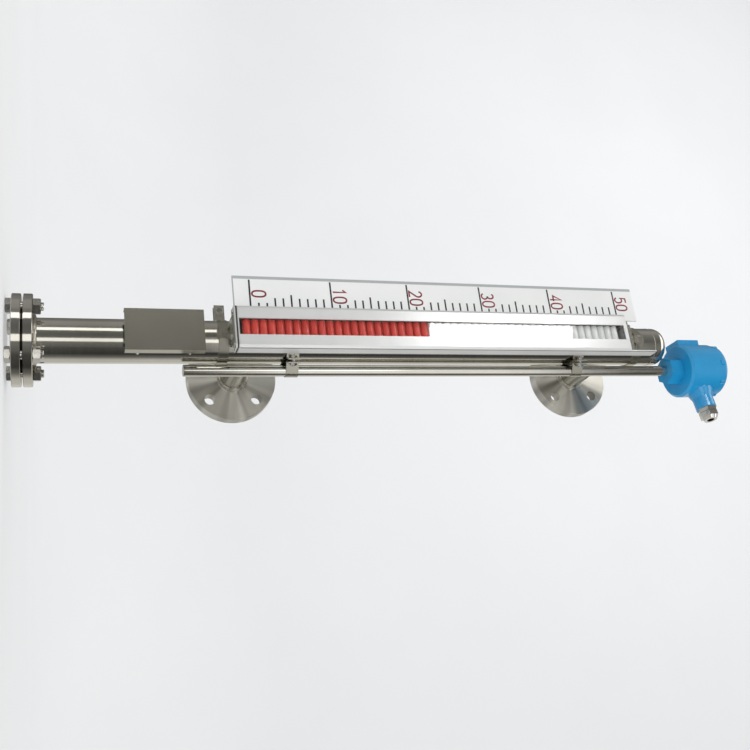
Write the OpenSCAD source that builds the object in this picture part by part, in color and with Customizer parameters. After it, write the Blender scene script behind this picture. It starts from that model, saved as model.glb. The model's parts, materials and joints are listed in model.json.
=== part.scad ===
// Magnetic level gauge: a float chamber with two process flanges, a roller
// indicator with a scale, and a transmitter rod with its junction box.
// The gauge stands upright. The origin is the centre of the sealing face of
// the lower process flange, +Z is up and the process flanges face +Y.

/* [Chamber] */
// Outside diameter of the chamber tube
chamber_od = 50.8; // [48:0.1:56]
// Wall of the chamber tube
chamber_wall = 2; // [1.5:0.1:3]
// Distance between the two process connections
centre_distance = 500; // [460:10:800]
// Chamber axis to the sealing faces of the process flanges
standoff = 132; // [115:1:180]
// Lower connection down to the top face of the chamber flange
lower_leg = 240; // [220:1:320]
// Upper connection up to the end of the top cap
upper_leg = 75; // [68:1:120]
// Height of the top cap
cap_height = 22; // [16:1:24]
// Radius of the top cap's rounded edge
cap_knuckle = 14; // [6:0.5:15]

/* [Chamber flanges] */
// Diameter of the chamber flange and the blind flange
body_flange_d = 103; // [100:1:120]
// Thickness of each of the two flanges
body_flange_t = 10; // [8:0.5:16]
// Bolt circle of the two flanges
body_bolt_circle = 80; // [78:0.5:84]
// Thickness of the gasket
gasket_t = 2; // [1:0.25:3]
// Diameter of the gasket
gasket_d = 66; // [58:1:68]
// Number of bolts
body_bolt_count = 4; // [4:4:8]
// Thread diameter of the bolts
body_bolt_d = 10; // [8:1:10]
// Width across flats of the bolt heads and nuts
body_hex = 16; // [13:0.5:17]
// Height of the bolt heads
body_head_h = 6.4; // [5:0.1:8]
// Height of the nuts
body_nut_h = 8.4; // [6:0.1:10]
// Bolt end that stands out of the nut
body_bolt_tail = 3; // [1:0.5:8]

/* [Process connections] */
// Diameter of the process flanges
process_flange_d = 115; // [110:1:130]
// Thickness of the process flanges
process_flange_t = 16; // [14:0.5:22]
// Bolt circle of the process flanges
process_bolt_circle = 85; // [82:1:90]
// Bolt holes of the process flanges
process_hole_d = 14; // [11:0.5:14]
// Number of bolt holes
process_hole_count = 4; // [4:4:8]
// Outside diameter of the branch pipes
branch_od = 33.4; // [30:0.1:36]
// Wall of the branch pipes
branch_wall = 3; // [2:0.1:4]
// Pipe end to the sealing face
branch_setback = 4; // [2:0.5:6]
// Leg of the weld fillets
weld = 4; // [2:0.5:5]

/* [Float] */
// Diameter of the float
float_d = 42; // [36:0.5:43]
// Length of the float
float_length = 180; // [140:1:190]
// Sheet of the float
float_wall = 1; // [0.6:0.1:1.5]
// Height of the float's domes
float_dome = 14; // [10:0.5:18]
// Middle of the magnet to the top of the float
magnet_depth = 45; // [35:1:70]
// Height of the float magnet
magnet_height = 26; // [16:1:34]
// Free height of the lower stop spring
lower_spring_h = 40; // [30:1:60]
// Free height of the upper stop spring
upper_spring_h = 18; // [14:1:19]
// Wire of the stop springs
spring_wire = 2.4; // [1.6:0.1:3]

/* [Name plate] */
// Width of the name plate
nameplate_w = 50; // [46:1:60]
// Height of the name plate
nameplate_h = 88; // [70:1:100]
// Sheet of the name plate
nameplate_t = 1; // [0.8:0.1:2]
// Middle of the plate below the lower connection
nameplate_drop = 101; // [95:1:110]
// Chamber axis to the back of the plate
nameplate_reach = 36; // [32:0.5:42]
// Depth of the plate's folded edges
nameplate_fold = 9; // [5:0.5:10]
// Distance between the studs across the chamber
stud_spacing_x = 38; // [30:1:40]
// Distance between the studs along the chamber
stud_spacing_z = 58; // [40:1:66]
// Diameter of the studs
stud_d = 5; // [3:0.5:6]

/* [Indicator] */
// Width of the indicator housing
housing_w = 51.4; // [50:0.2:60]
// Chamber axis to the front of the housing
housing_front = 50; // [49:0.5:54]
// Depth of the wide part of the housing
housing_depth = 18; // [16:0.5:20]
// Width of the housing's foot
foot_w = 34; // [32:0.5:40]
// Gap between the chamber and the housing's foot
foot_gap = 1; // [0.9:0.1:2]
// Wall of the housing
housing_wall = 2; // [1.6:0.1:2.2]
// Width of the window
window_w = 20.4; // [19:0.2:22]
// Bevel along the housing's front edges
housing_bevel = 3; // [1:0.25:3]
// Thickness of the window glass
glass_t = 3; // [2:0.25:3]
// Housing below the lower connection
housing_below = 20; // [18:1:24]
// End of the housing before the upper connection
housing_short = 10; // [8:0.5:14]
// Side wall that runs on past the upper end
side_wall_run = 45; // [20:1:50]
// Thickness of the end plates
end_plate_t = 5; // [4:0.5:6]

/* [Rollers] */
// Reading that the rollers show, above the lower connection
reading = 215; // [115:10:315]
// Distance between rollers
roller_pitch = 10; // [9.8:0.1:10.6]
// Diameter of a roller
roller_d = 9.4; // [8:0.1:9.6]
// Length of a roller
roller_length = 22.4; // [22:0.1:22.6]
// Diameter of the roller's pins
pin_d = 1.6; // [1.2:0.1:2]
// Clearance of the pins in the rail, on the radius
pin_clearance = 0.08; // [0.05:0.01:0.1]
// Chamber axis to the roller axes
roller_axis = 38; // [37.5:0.25:38.5]
// Wall of the roller rail
rail_wall = 1.6; // [1.2:0.1:1.8]

/* [Scale] */
// Chamber axis to the outer edge of the scale plate
scale_edge = 75; // [70:1:90]
// Chamber axis to the inner edge of the scale plate
scale_inner = 11; // [11:0.25:12]
// Sheet of the scale plate
scale_t = 2; // [1.5:0.1:2]
// Scale plate above the upper connection
scale_above = 30; // [20:1:38]

/* [Brackets and clamps] */
// Sheet of the brackets
bracket_t = 2; // [1.5:0.1:3]
// Width of the tongues under the clamp bands
tongue_w = 11; // [8:1:16]
// Width of the upper bracket's flap
flap_w = 42; // [30:1:44]
// Length of the upper bracket's flap
flap_l = 22; // [10:0.5:23]
// Width of the clamp bands
clamp_w = 12; // [8:1:16]
// Sheet of the clamp bands and rod clips
band_t = 0.9; // [0.6:0.05:0.9]
// Reach of the clamp ears from the chamber axis
ear_reach = 46; // [44:1:50]
// Gap between the clamp ears
ear_gap = 5; // [4:0.5:8]
// Thread diameter of the clamp and clip bolts
clamp_bolt_d = 5; // [4:0.5:5]

/* [Transmitter] */
// Diameter of the transmitter rod
rod_d = 14; // [12:0.5:16]
// Wall of the transmitter rod
rod_wall = 1; // [0.8:0.1:1.5]
// Gap between the chamber and the rod
rod_gap = 3; // [2.5:0.25:6]
// Rod end below the lower connection
rod_below = 79; // [60:1:100]
// Length of the plug in the rod's end
rod_plug_l = 10; // [6:1:20]
// Height of the lower rod clip
lower_clip_z = 48; // [30:1:100]
// Upper rod clip below the upper connection
upper_clip_drop = 66; // [40:1:120]
// Width of the rod clips
clip_w = 15; // [10:1:20]

/* [Junction box] */
// Bottom of the box's boss above the top cap
box_lift = 2; // [1:0.5:40]
// Height of the boss
boss_h = 19; // [14:0.5:26]
// Width across flats of the boss
boss_hex = 33; // [28:0.5:36]
// Diameter of the box
box_d = 73; // [70:1:84]
// Height of the box's body
box_h = 47.5; // [44:0.5:56]
// Wall of the box
box_wall = 4; // [3:0.25:5]
// Step from the box's side in to the cover's
cover_step = 1.5; // [0.5:0.25:2.5]
// Height of the cover
cover_h = 12; // [11:0.5:18]
// Length of the cover's screwed skirt
skirt_l = 14; // [12:0.5:16]
// Wall of the skirt
skirt_wall = 5.5; // [5:0.25:7]
// Clearance of the skirt in the box, on the radius
cover_clearance = 0.3; // [0.2:0.05:0.4]
// Section of the cover's seal ring
seal_d = 3; // [2.5:0.1:3.2]
// Lugs round the cover's rim
cover_lugs = 8; // [6:1:10]
// Turn of the cable entry towards the front, in degrees
entry_turn = 10; // [0:1:20]
// Box axis to the end of the cable entry's boss
entry_reach = 60; // [54:1:70]
// Diameter of the cable entry's boss
entry_d = 27; // [26:0.5:30]
// Across flats of the cable gland
gland_hex = 22; // [20:0.5:24]
// Hole for the cable
cable_hole_d = 8; // [6:0.5:9]

/* [Hidden] */
$fn = 72;

// Finishes
STEEL = "silver";
DARK_STEEL = "gray";
ALUMINIUM = "lightgray";
RUBBER = "dimgray";
RED = "firebrick";
WHITE = "white";
BLUE = "steelblue";

// Cut allowance past a face
eps = 1;
// Lap where a straight band leaves a round
tangent_lap = 0.05;
// Play of the bands round what they hold
band_play = 0.05;

// Branch pipes
branch_r = branch_od / 2;
branch_ir = branch_r - branch_wall;

// Chamber levels
chamber_r = chamber_od / 2;
chamber_ir = chamber_r - chamber_wall;
top_z = centre_distance + upper_leg;
cap_z = top_z - cap_height;
seat_z = -lower_leg;
joint_z = seat_z - body_flange_t;
blind_z = joint_z - gasket_t;
tube_setback = 2;
seam = 0.02;
tee_half = branch_r + 4 * weld;
tube_ends = [
    joint_z + tube_setback, -tee_half, tee_half, centre_distance / 2,
    centre_distance - tee_half, cap_z
];
edge_chamfer = 0.8;
bolt_play = 1;
body_hole_d = body_bolt_d + bolt_play;

// Float, at rest on its lower stop
float_r = float_d / 2;
float_ir = float_r - float_wall;
float_rest = 0.3;
float_bottom_z = blind_z + lower_spring_h + float_rest;
float_top_z = float_bottom_z + float_length;
magnet_z = float_top_z - magnet_depth - magnet_height / 2;
magnet_ring = 7;
spring_r = chamber_r - cap_knuckle - spring_wire;
spring_turns = 5;
spring_steps = 18;
spring_sides = 8;

// Indicator section, measured from the chamber axis
foot_back = chamber_r + foot_gap;
housing_back = housing_front - housing_depth;
housing_z0 = -housing_below;
housing_z1 = centre_distance - housing_short;
rail_play = 0.4;
rail_inner = roller_length / 2 + rail_play;
rail_outer = rail_inner + rail_wall;
rail_fit = 0.2;
cavity_half = rail_outer + rail_fit;
cavity_floor = foot_back + housing_wall;
glass_front = housing_front - housing_wall;
glass_back = glass_front - glass_t;
glass_lip = 3;
glass_half = cavity_half + glass_lip;
glass_play = 0.2;
port_d = 2.5;
port_inset = 5;
port_x = housing_w / 2 - port_inset;
port_n = glass_back - housing_wall;
pocket_drop = 3.5;
pocket_top = port_n - pocket_drop;
screw_head_d = 5.5;
screw_head_h = 2;
head_taper = 0.8;

// Rollers, numbered in centimetres of the reading
first_roller = -1;
last_roller = floor((housing_z1 - roller_d / 2) / roller_pitch);
last_red = floor((reading - roller_pitch / 2) / roller_pitch);
free_rollers = 4;
pin_short = 0.2;
pin_l = rail_wall - pin_short;

// Scale plate
scale_z0 = housing_z0;
scale_z1 = centre_distance + scale_above;
scale_gap = 1;
scale_inset = chamber_r + band_t + scale_gap;
scale_screw_inset = 3;
scale_screw_x = foot_w / 2 - scale_screw_inset;
scale_screws_n = 5;
scale_screw_margin = 40;

// Brackets and clamps
riser_w = 30;
riser_drop = 4;
riser_top = housing_front - riser_drop;
bracket_screw_x = 9;
bracket_screw_drop = 8;
bracket_screw_n = riser_top - bracket_screw_drop;
bracket_screw_d = 4;
bracket_screw_head = 7;
lower_riser_z = housing_z0 - end_plate_t - bracket_t;
upper_riser_z = housing_z1 + end_plate_t;
lower_clamp_gap = 0.5;
upper_clamp_gap = 2.5;
lower_clamp_z = lower_riser_z - clamp_w - lower_clamp_gap;
upper_clamp_z = centre_distance + branch_r + upper_clamp_gap;
tongue_end = 2;
band_ir = chamber_r + band_play;
band_or = band_ir + band_t;
ear_t = 2;
ear_bolt_inset = 8;
ear_bolt_x = ear_reach - ear_bolt_inset;
clamp_hex = 8;
ear_head = 0.65;
ear_nut = 0.8;
ear_tail = 1.5;

// Transmitter
rod_r = rod_d / 2;
rod_ir = rod_r - rod_wall;
rod_x = chamber_r + rod_gap + rod_r;
plug_head = 2;
reed_share = 1.5;
reed_w = rod_ir * reed_share;
reed_t = 1.6;
reed_top_gap = 40;
belt_angle = acos((chamber_r - rod_r) / rod_x);
belt_straight = rod_x * sin(belt_angle);
clip_ear = 9;
clip_ear_t = 1.5;
clip_ear_gap = 3;
clip_bolt_d = 4;
clip_hex = 7;
clip_grip = clip_ear_gap + 2 * clip_ear_t;
clip_bolt_reach = band_or + clip_ear / 2;
lower_clip_z0 = lower_clip_z - clip_w / 2;
upper_clip_z0 = centre_distance - upper_clip_drop - clip_w / 2;

// Junction box
boss_z = top_z + box_lift;
box_z = boss_z + boss_h;
box_r = box_d / 2;
box_floor = 5;
cavity_r = box_r - box_wall;
seal_play = 0.3;
cover_z = box_z + box_h + seal_play;
cover_r = box_r - cover_step;
cover_room = cover_h - box_wall;
cover_edge = 4;
skirt_r = cavity_r - cover_clearance;
skirt_ir = skirt_r - skirt_wall;
groove_land = 1.5;
groove_h = seal_d + 2 * seal_play;
groove_depth = seal_d + seal_play;
seal_z = cover_z - groove_land - groove_h / 2;
lug_d = 9;
lug_drop = 1;
lug_h = cover_h - cover_edge - lug_drop;
lug_share = 0.25;
pad_w = 28;
pad_h = 4.5;
pad_l = 34;
box_edge = 3;
entry_rise = 2.5;
entry_z = box_h / 2 + entry_rise;
entry_flare = 4;
entry_root_d = entry_d + 2 * entry_flare;
entry_root_l = 8;
entry_root = box_r + entry_root_l;
gland_thread_r = 9;
gland_spigot = 12;
gland_hex_h = 6;
gland_nut_wall = 2.5;
gland_neck_r = gland_hex / 2 - gland_nut_wall;
gland_neck_h = 6;
gland_seal_wall = 2;
gland_bore_r = cable_hole_d / 2 + gland_seal_wall;
gland_nut_gap = 0.5;
gland_nut_h = 6.5;
gland_dome_h = 4;
gland_shoulder = 1;
gland_top_d = gland_hex - gland_shoulder;
gland_mouth = 1;
tube_in_box = 2;
terminal_l = 32;
terminal_y = 10;
terminal_w = 12;
terminal_h = 14;
terminal_poles = 4;
terminal_screw_d = 4;
terminal_screw_h = 1;

// Shared shapes

// Moves to the chamber axis
module at_axis() translate([0, -standoff, 0]) children();

// Points along +Y from a process connection, with zero on its sealing face
module at_connection(z) translate([0, 0, z]) rotate([-90, 0, 0]) children();

// Moves to the axis of the junction box
module at_box(z) at_axis() translate([rod_x, 0, z]) children();

// Points out of the cable entry
module at_entry(reach)
    at_box(box_z + entry_z) rotate([0, 90, -entry_turn]) translate([0, 0, reach]) children();

// Disc with both rims chamfered
module disc(r, h, chamfer = edge_chamfer)
    rotate_extrude()
        polygon([[0, 0], [r - chamfer, 0], [r, chamfer], [r, h - chamfer], [r - chamfer, h], [0, h]]);

// Half section of a post with a rounded top edge
module rounded_half(r, h, edge) {
    square([r, h - edge]);
    square([r - edge, h]);
    translate([r - edge, h - edge]) circle(edge);
}

// Closed end with a rounded edge and an even wall
module rounded_cup(r, h, edge, wall)
    rotate_extrude()
        intersection() {
            difference() {
                rounded_half(r, h, edge);
                translate([-eps, -eps]) square([eps, h + 2 * eps]);
                rounded_half(r - wall, h - wall, edge - wall);
            }
            square([r, h]);
        }

// Ring between two radii
module ring(r, inner, h)
    difference() {
        cylinder(r = r, h = h);
        translate([0, 0, -eps]) cylinder(r = inner, h = h + 2 * eps);
    }

// Fillet weld round a pipe, standing on z = 0
module weld_ring(r)
    rotate_extrude() polygon([[r, 0], [r + weld, 0], [r, weld]]);

// Puts a child at each place of a bolt circle, straddling the axes
module bolt_circle(d, count)
    for (i = [0:count - 1]) rotate([0, 0, (i + 0.5) * 360 / count]) translate([d / 2, 0, 0]) children();

// Hexagon by its width across flats
module hexagon(flats, h) cylinder(d = flats / cos(30), h = h, $fn = 6);

// Coil of round wire that stands on z = 0
module coil(r, wire, height) {
    count = spring_turns * spring_steps;
    rise = (height - wire) / count;
    points = [
        for (i = [0:count], j = [0:spring_sides - 1])
            let (a = i * 360 / spring_steps, b = j * 360 / spring_sides, reach = r + wire / 2 * cos(b))
                [reach * cos(a), reach * sin(a), wire / 2 + i * rise + wire / 2 * sin(b)]
    ];
    sides = [
        for (i = [0:count - 1], j = [0:spring_sides - 1])
            let (k = (j + 1) % spring_sides, low = i * spring_sides, high = low + spring_sides)
                [low + j, low + k, high + k, high + j]
    ];
    first_end = [for (j = [0:spring_sides - 1]) spring_sides - 1 - j];
    last_end = [for (j = [0:spring_sides - 1]) count * spring_sides + j];
    polyhedron(points, concat([first_end], sides, [last_end]), convexity = 10);
}

// Round post of radius r with a flat tongue standing out of its front
module tongue_post(r, half, reach, h) {
    lap = r + tangent_lap;
    angle = atan2(reach, half) - acos(lap / norm([half, reach]));
    cylinder(r = r, h = h);
    linear_extrude(h) polygon([
        [0, 0], [lap * cos(angle), -lap * sin(angle)], [half, -reach],
        [-half, -reach], [-lap * cos(angle), -lap * sin(angle)]
    ]);
}

// Post as wide as a belt round the chamber and the rod
module belt_post(grow, h) {
    big = chamber_r + grow + tangent_lap;
    small = rod_r + grow + tangent_lap;
    cylinder(r = chamber_r + grow, h = h);
    translate([rod_x, 0, 0]) cylinder(r = rod_r + grow, h = h);
    linear_extrude(h) polygon([
        [big * cos(belt_angle), big * sin(belt_angle)],
        [rod_x + small * cos(belt_angle), small * sin(belt_angle)],
        [rod_x + small * cos(belt_angle), -small * sin(belt_angle)],
        [big * cos(belt_angle), -big * sin(belt_angle)]
    ]);
}

// Bolt along +Y through a pair of ears
module ear_bolt(d, flats, grip) rotate([-90, 0, 0]) {
    translate([0, 0, -grip / 2 - d * ear_head]) hexagon(flats, d * ear_head);
    translate([0, 0, -grip / 2]) cylinder(d = d, h = grip + d * ear_nut + ear_tail);
}

// Nut of such a bolt
module ear_nut(d, flats, grip) rotate([-90, 0, 0]) translate([0, 0, grip / 2]) difference() {
    hexagon(flats, d * ear_nut);
    translate([0, 0, -eps]) cylinder(d = d, h = d * ear_nut + 2 * eps);
}

// Chamber

// Lengths of tube, welded end to end, two of them with a branch
module chamber_tube() color(STEEL) at_axis() difference() {
    for (i = [0:len(tube_ends) - 2])
        translate([0, 0, tube_ends[i]])
            ring(chamber_r, chamber_ir, tube_ends[i + 1] - tube_ends[i] - seam);
    for (z = [0, centre_distance])
        translate([0, 0, z]) rotate([-90, 0, 0]) cylinder(r = branch_ir, h = standoff);
}

module top_cap() color(STEEL) at_axis() translate([0, 0, cap_z])
    rounded_cup(chamber_r, cap_height, cap_knuckle, chamber_wall);

module chamber_flange() color(STEEL) at_axis() translate([0, 0, joint_z]) difference() {
    union() {
        disc(body_flange_d / 2, body_flange_t);
        translate([0, 0, body_flange_t]) weld_ring(chamber_r);
    }
    translate([0, 0, -eps]) cylinder(r = chamber_r, h = body_flange_t + weld + 2 * eps);
    bolt_circle(body_bolt_circle, body_bolt_count)
        translate([0, 0, -eps]) cylinder(d = body_hole_d, h = body_flange_t + 2 * eps);
}

module blind_flange() color(STEEL) at_axis() translate([0, 0, blind_z - body_flange_t]) difference() {
    disc(body_flange_d / 2, body_flange_t);
    bolt_circle(body_bolt_circle, body_bolt_count)
        translate([0, 0, -eps]) cylinder(d = body_hole_d, h = body_flange_t + 2 * eps);
}

module flange_gasket() color(RUBBER) at_axis() translate([0, 0, blind_z])
    ring(gasket_d / 2, chamber_ir, gasket_t);

module flange_bolts() color(STEEL) at_axis() bolt_circle(body_bolt_circle, body_bolt_count) {
    translate([0, 0, blind_z - body_flange_t - body_head_h]) hexagon(body_hex, body_head_h);
    translate([0, 0, blind_z - body_flange_t])
        cylinder(d = body_bolt_d, h = 2 * body_flange_t + gasket_t + body_nut_h + body_bolt_tail);
}

module flange_nuts() color(STEEL) at_axis() translate([0, 0, seat_z])
    bolt_circle(body_bolt_circle, body_bolt_count) difference() {
        hexagon(body_hex, body_nut_h);
        translate([0, 0, -eps]) cylinder(d = body_bolt_d, h = body_nut_h + 2 * eps);
    }

// Process connections

module branch_pipe(z) color(STEEL) difference() {
    at_connection(z) translate([0, 0, -standoff]) ring(branch_r, branch_ir, standoff - branch_setback);
    at_axis() translate([0, 0, z - branch_od]) cylinder(r = chamber_r, h = 2 * branch_od);
}

module process_flange(z) color(STEEL) at_connection(z) difference() {
    union() {
        translate([0, 0, -process_flange_t]) disc(process_flange_d / 2, process_flange_t);
        translate([0, 0, -process_flange_t]) mirror([0, 0, 1]) weld_ring(branch_r);
    }
    translate([0, 0, -process_flange_t - weld - eps])
        cylinder(r = branch_r, h = process_flange_t + weld + 2 * eps);
    bolt_circle(process_bolt_circle, process_hole_count)
        translate([0, 0, -process_flange_t - eps])
            cylinder(d = process_hole_d, h = process_flange_t + 2 * eps);
}

module lower_branch_pipe() branch_pipe(0);
module upper_branch_pipe() branch_pipe(centre_distance);
module lower_process_flange() process_flange(0);
module upper_process_flange() process_flange(centre_distance);

// Float and its stops

module float_tube() color(STEEL) at_axis() translate([0, 0, float_bottom_z + float_dome])
    ring(float_r, float_ir, float_length - 2 * float_dome);

module float_top_dome() color(STEEL) at_axis() translate([0, 0, float_top_z - float_dome])
    rounded_cup(float_r, float_dome, float_dome - eps, float_wall);

module float_bottom_dome() color(STEEL) at_axis() translate([0, 0, float_bottom_z + float_dome])
    mirror([0, 0, 1]) rounded_cup(float_r, float_dome, float_dome - eps, float_wall);

module float_magnet() color(DARK_STEEL) at_axis() translate([0, 0, magnet_z])
    ring(float_ir, float_ir - magnet_ring, magnet_height);

module lower_stop_spring() color(STEEL) at_axis() translate([0, 0, blind_z])
    coil(spring_r, spring_wire, lower_spring_h);

module upper_stop_spring() color(STEEL) at_axis() translate([0, 0, top_z - chamber_wall - upper_spring_h])
    coil(spring_r, spring_wire, upper_spring_h);

// Name plate

module at_studs()
    for (x = [-1, 1], z = [-1, 1])
        translate([x * stud_spacing_x / 2, 0, z * stud_spacing_z / 2 - nameplate_drop]) children();

// Sheet with both long edges folded back
module nameplate_section() difference() {
    translate([-nameplate_w / 2, -nameplate_reach - nameplate_t])
        square([nameplate_w, nameplate_t + nameplate_fold]);
    translate([nameplate_t - nameplate_w / 2, -nameplate_reach])
        square([nameplate_w - 2 * nameplate_t, nameplate_fold + eps]);
}

module nameplate() color(STEEL) at_axis() translate([0, 0, -nameplate_drop - nameplate_h / 2])
    linear_extrude(nameplate_h) nameplate_section();

module nameplate_studs() color(STEEL) at_axis() difference() {
    at_studs() rotate([90, 0, 0]) cylinder(d = stud_d, h = nameplate_reach);
    translate([0, 0, -nameplate_drop - nameplate_h / 2]) cylinder(r = chamber_r, h = nameplate_h);
}

// Indicator

module housing_outline() {
    half = housing_w / 2;
    shoulder = housing_front - housing_bevel / 2;
    polygon([
        [-half, -housing_back], [-half, -shoulder], [housing_bevel - half, -housing_front],
        [half - housing_bevel, -housing_front], [half, -shoulder], [half, -housing_back]
    ]);
    translate([-foot_w / 2, -housing_back]) square([foot_w, housing_back - foot_back]);
}

module screw_ports(d) for (side = [-1, 1]) translate([side * port_x, -port_n]) circle(d = d);

module housing_section() difference() {
    housing_outline();
    translate([-cavity_half, -glass_front]) square([2 * cavity_half, glass_front - cavity_floor]);
    translate([-glass_half, -glass_front]) square([2 * glass_half, glass_t]);
    translate([-window_w / 2, -housing_front - eps]) square([window_w, housing_wall + 2 * eps]);
    for (side = [0, 1]) mirror([side, 0])
        translate([glass_half + housing_wall, -pocket_top])
            square([housing_w / 2 - glass_half - 2 * housing_wall, pocket_top - housing_back - housing_wall]);
    screw_ports(port_d);
}

module indicator_housing() color(ALUMINIUM) at_axis() difference() {
    union() {
        translate([0, 0, housing_z0]) linear_extrude(housing_z1 - housing_z0) housing_section();
        translate([housing_w / 2 - housing_wall, -housing_front + housing_bevel, housing_z1])
            cube([housing_wall, housing_depth - housing_bevel, side_wall_run]);
    }
    at_scale_screws() cylinder(d = port_d, h = 2 * housing_wall);
}

module window_glass() color("azure", 0.4) at_axis()
    translate([glass_play - glass_half, -glass_front, housing_z0])
        cube([2 * (glass_half - glass_play), glass_t, housing_z1 - housing_z0]);

module roller_rail() color(WHITE) at_axis() difference() {
    translate([0, 0, housing_z0]) linear_extrude(housing_z1 - housing_z0) difference() {
        translate([-rail_outer, -glass_back]) square([2 * rail_outer, glass_back - cavity_floor]);
        translate([-rail_inner, -glass_back - eps])
            square([2 * rail_inner, glass_back - cavity_floor - rail_wall + eps]);
    }
    for (k = [first_roller:last_roller])
        at_roller(k) translate([0, 0, -rail_outer - eps])
            cylinder(d = pin_d + 2 * pin_clearance, h = 2 * rail_outer + 2 * eps);
}

// Axis of one roller, across the gauge
module at_roller(k) translate([0, -roller_axis, k * roller_pitch]) rotate([0, 90, 0]) children();

module roller(k) at_axis() at_roller(k) {
    translate([0, 0, -roller_length / 2]) cylinder(d = roller_d, h = roller_length);
    translate([0, 0, -rail_inner - pin_l]) cylinder(d = pin_d, h = 2 * (rail_inner + pin_l));
}

module roller_row(first, last, tint) color(tint) for (k = [first:last]) roller(k);

module red_roller_row() roller_row(first_roller, last_red - free_rollers, RED);
module white_roller_row() roller_row(last_red + free_rollers + 1, last_roller, WHITE);

// The rollers next to the reading, counted upwards
module free_roller(i) color(i > free_rollers ? WHITE : RED) roller(last_red - free_rollers + i);

module end_plate(z) translate([0, 0, z]) linear_extrude(end_plate_t) difference() {
    housing_outline();
    screw_ports(port_d);
    for (side = [-1, 1]) translate([side * bracket_screw_x, -bracket_screw_n]) circle(d = bracket_screw_d);
}

module lower_end_plate() color(ALUMINIUM) at_axis() end_plate(housing_z0 - end_plate_t);

module upper_end_plate() color(ALUMINIUM) at_axis() difference() {
    end_plate(housing_z1);
    translate([housing_w / 2 - housing_wall, -housing_front + housing_bevel, housing_z1 - eps])
        cube([2 * housing_wall, housing_depth - housing_bevel + eps, end_plate_t + 2 * eps]);
}

// Screw along +Z with its head below z = 0
module screw(d, l, head_d, head_h) {
    cylinder(d = d, h = l);
    translate([0, 0, -head_h]) cylinder(d1 = head_d * head_taper, d2 = head_d, h = head_h);
}

module end_plate_screws() color(STEEL) at_axis() for (side = [-1, 1]) {
    translate([side * port_x, -port_n, housing_z0 - end_plate_t])
        screw(port_d, 3 * end_plate_t, screw_head_d, screw_head_h);
    translate([side * port_x, -port_n, housing_z1 + end_plate_t]) mirror([0, 0, 1])
        screw(port_d, 3 * end_plate_t, screw_head_d, screw_head_h);
}

// Scale

module at_scale_screws()
    for (i = [0:scale_screws_n - 1])
        translate([
            -scale_screw_x, -foot_back,
            housing_z0 + scale_screw_margin
                + i * (housing_z1 - housing_z0 - 2 * scale_screw_margin) / (scale_screws_n - 1)
        ]) rotate([90, 0, 0]) children();

module scale_screw() {
    cylinder(d = port_d, h = housing_wall);
    translate([0, 0, -scale_t]) cylinder(d1 = 2 * port_d, d2 = port_d, h = scale_t);
}

module scale_plate() color(WHITE) at_axis() difference() {
    translate([-scale_edge, -foot_back, scale_z0])
        cube([scale_edge - scale_inner, scale_t, scale_z1 - scale_z0]);
    translate([-scale_inset, -foot_back - eps, housing_z1])
        cube([scale_inset, scale_t + 2 * eps, scale_z1 - housing_z1 + eps]);
    at_scale_screws() scale_screw();
}

module scale_screws() color(STEEL) at_axis() at_scale_screws() scale_screw();

// Brackets and clamps

module riser_outline() difference() {
    translate([-riser_w / 2, -riser_top]) square([riser_w, riser_top - chamber_r]);
    for (side = [-1, 1]) translate([side * bracket_screw_x, -bracket_screw_n]) circle(d = bracket_screw_d);
}

// Strip of bracket sheet that lies along the chamber's front
module tongue(width, length)
    translate([-width / 2, -chamber_r - bracket_t, 0]) cube([width, bracket_t, length]);

module lower_bracket() color(STEEL) at_axis() {
    translate([0, 0, lower_riser_z]) linear_extrude(bracket_t) riser_outline();
    translate([0, 0, lower_clamp_z - tongue_end])
        tongue(tongue_w, lower_riser_z - lower_clamp_z + tongue_end + bracket_t);
}

module upper_bracket() color(STEEL) at_axis() {
    translate([0, 0, upper_riser_z]) linear_extrude(bracket_t) riser_outline();
    translate([0, 0, upper_riser_z]) {
        tongue(flap_w, flap_l);
        tongue(tongue_w, upper_clamp_z + clamp_w + tongue_end - upper_riser_z);
    }
}

module bracket_screws() color(STEEL) at_axis() for (side = [-1, 1]) {
    translate([side * bracket_screw_x, -bracket_screw_n, lower_riser_z])
        screw(bracket_screw_d, bracket_t + end_plate_t, bracket_screw_head, screw_head_h);
    translate([side * bracket_screw_x, -bracket_screw_n, upper_riser_z + bracket_t]) mirror([0, 0, 1])
        screw(bracket_screw_d, bracket_t + end_plate_t, bracket_screw_head, screw_head_h);
}

module clamp_band(z) color(STEEL) at_axis() translate([0, 0, z]) difference() {
    union() {
        tongue_post(band_or, tongue_w / 2 + band_t, band_or + bracket_t, clamp_w);
        translate([-ear_reach, -ear_gap / 2 - ear_t, 0])
            cube([ear_reach - band_ir, ear_gap + 2 * ear_t, clamp_w]);
    }
    translate([0, 0, -eps])
        tongue_post(band_ir, tongue_w / 2 + band_play, band_ir + bracket_t, clamp_w + 2 * eps);
    translate([-ear_reach - eps, -ear_gap / 2, -eps]) cube([ear_reach, ear_gap, clamp_w + 2 * eps]);
    translate([-ear_bolt_x, -chamber_r, clamp_w / 2]) rotate([-90, 0, 0])
        cylinder(d = clamp_bolt_d, h = chamber_od);
}

module at_clamp_bolts() at_axis() for (z = [lower_clamp_z, upper_clamp_z])
    translate([-ear_bolt_x, 0, z + clamp_w / 2]) children();

module lower_clamp_band() clamp_band(lower_clamp_z);
module upper_clamp_band() clamp_band(upper_clamp_z);
module clamp_bolts() color(STEEL) at_clamp_bolts() ear_bolt(clamp_bolt_d, clamp_hex, ear_gap + 2 * ear_t);
module clamp_nuts() color(STEEL) at_clamp_bolts() ear_nut(clamp_bolt_d, clamp_hex, ear_gap + 2 * ear_t);

// Transmitter

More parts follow.
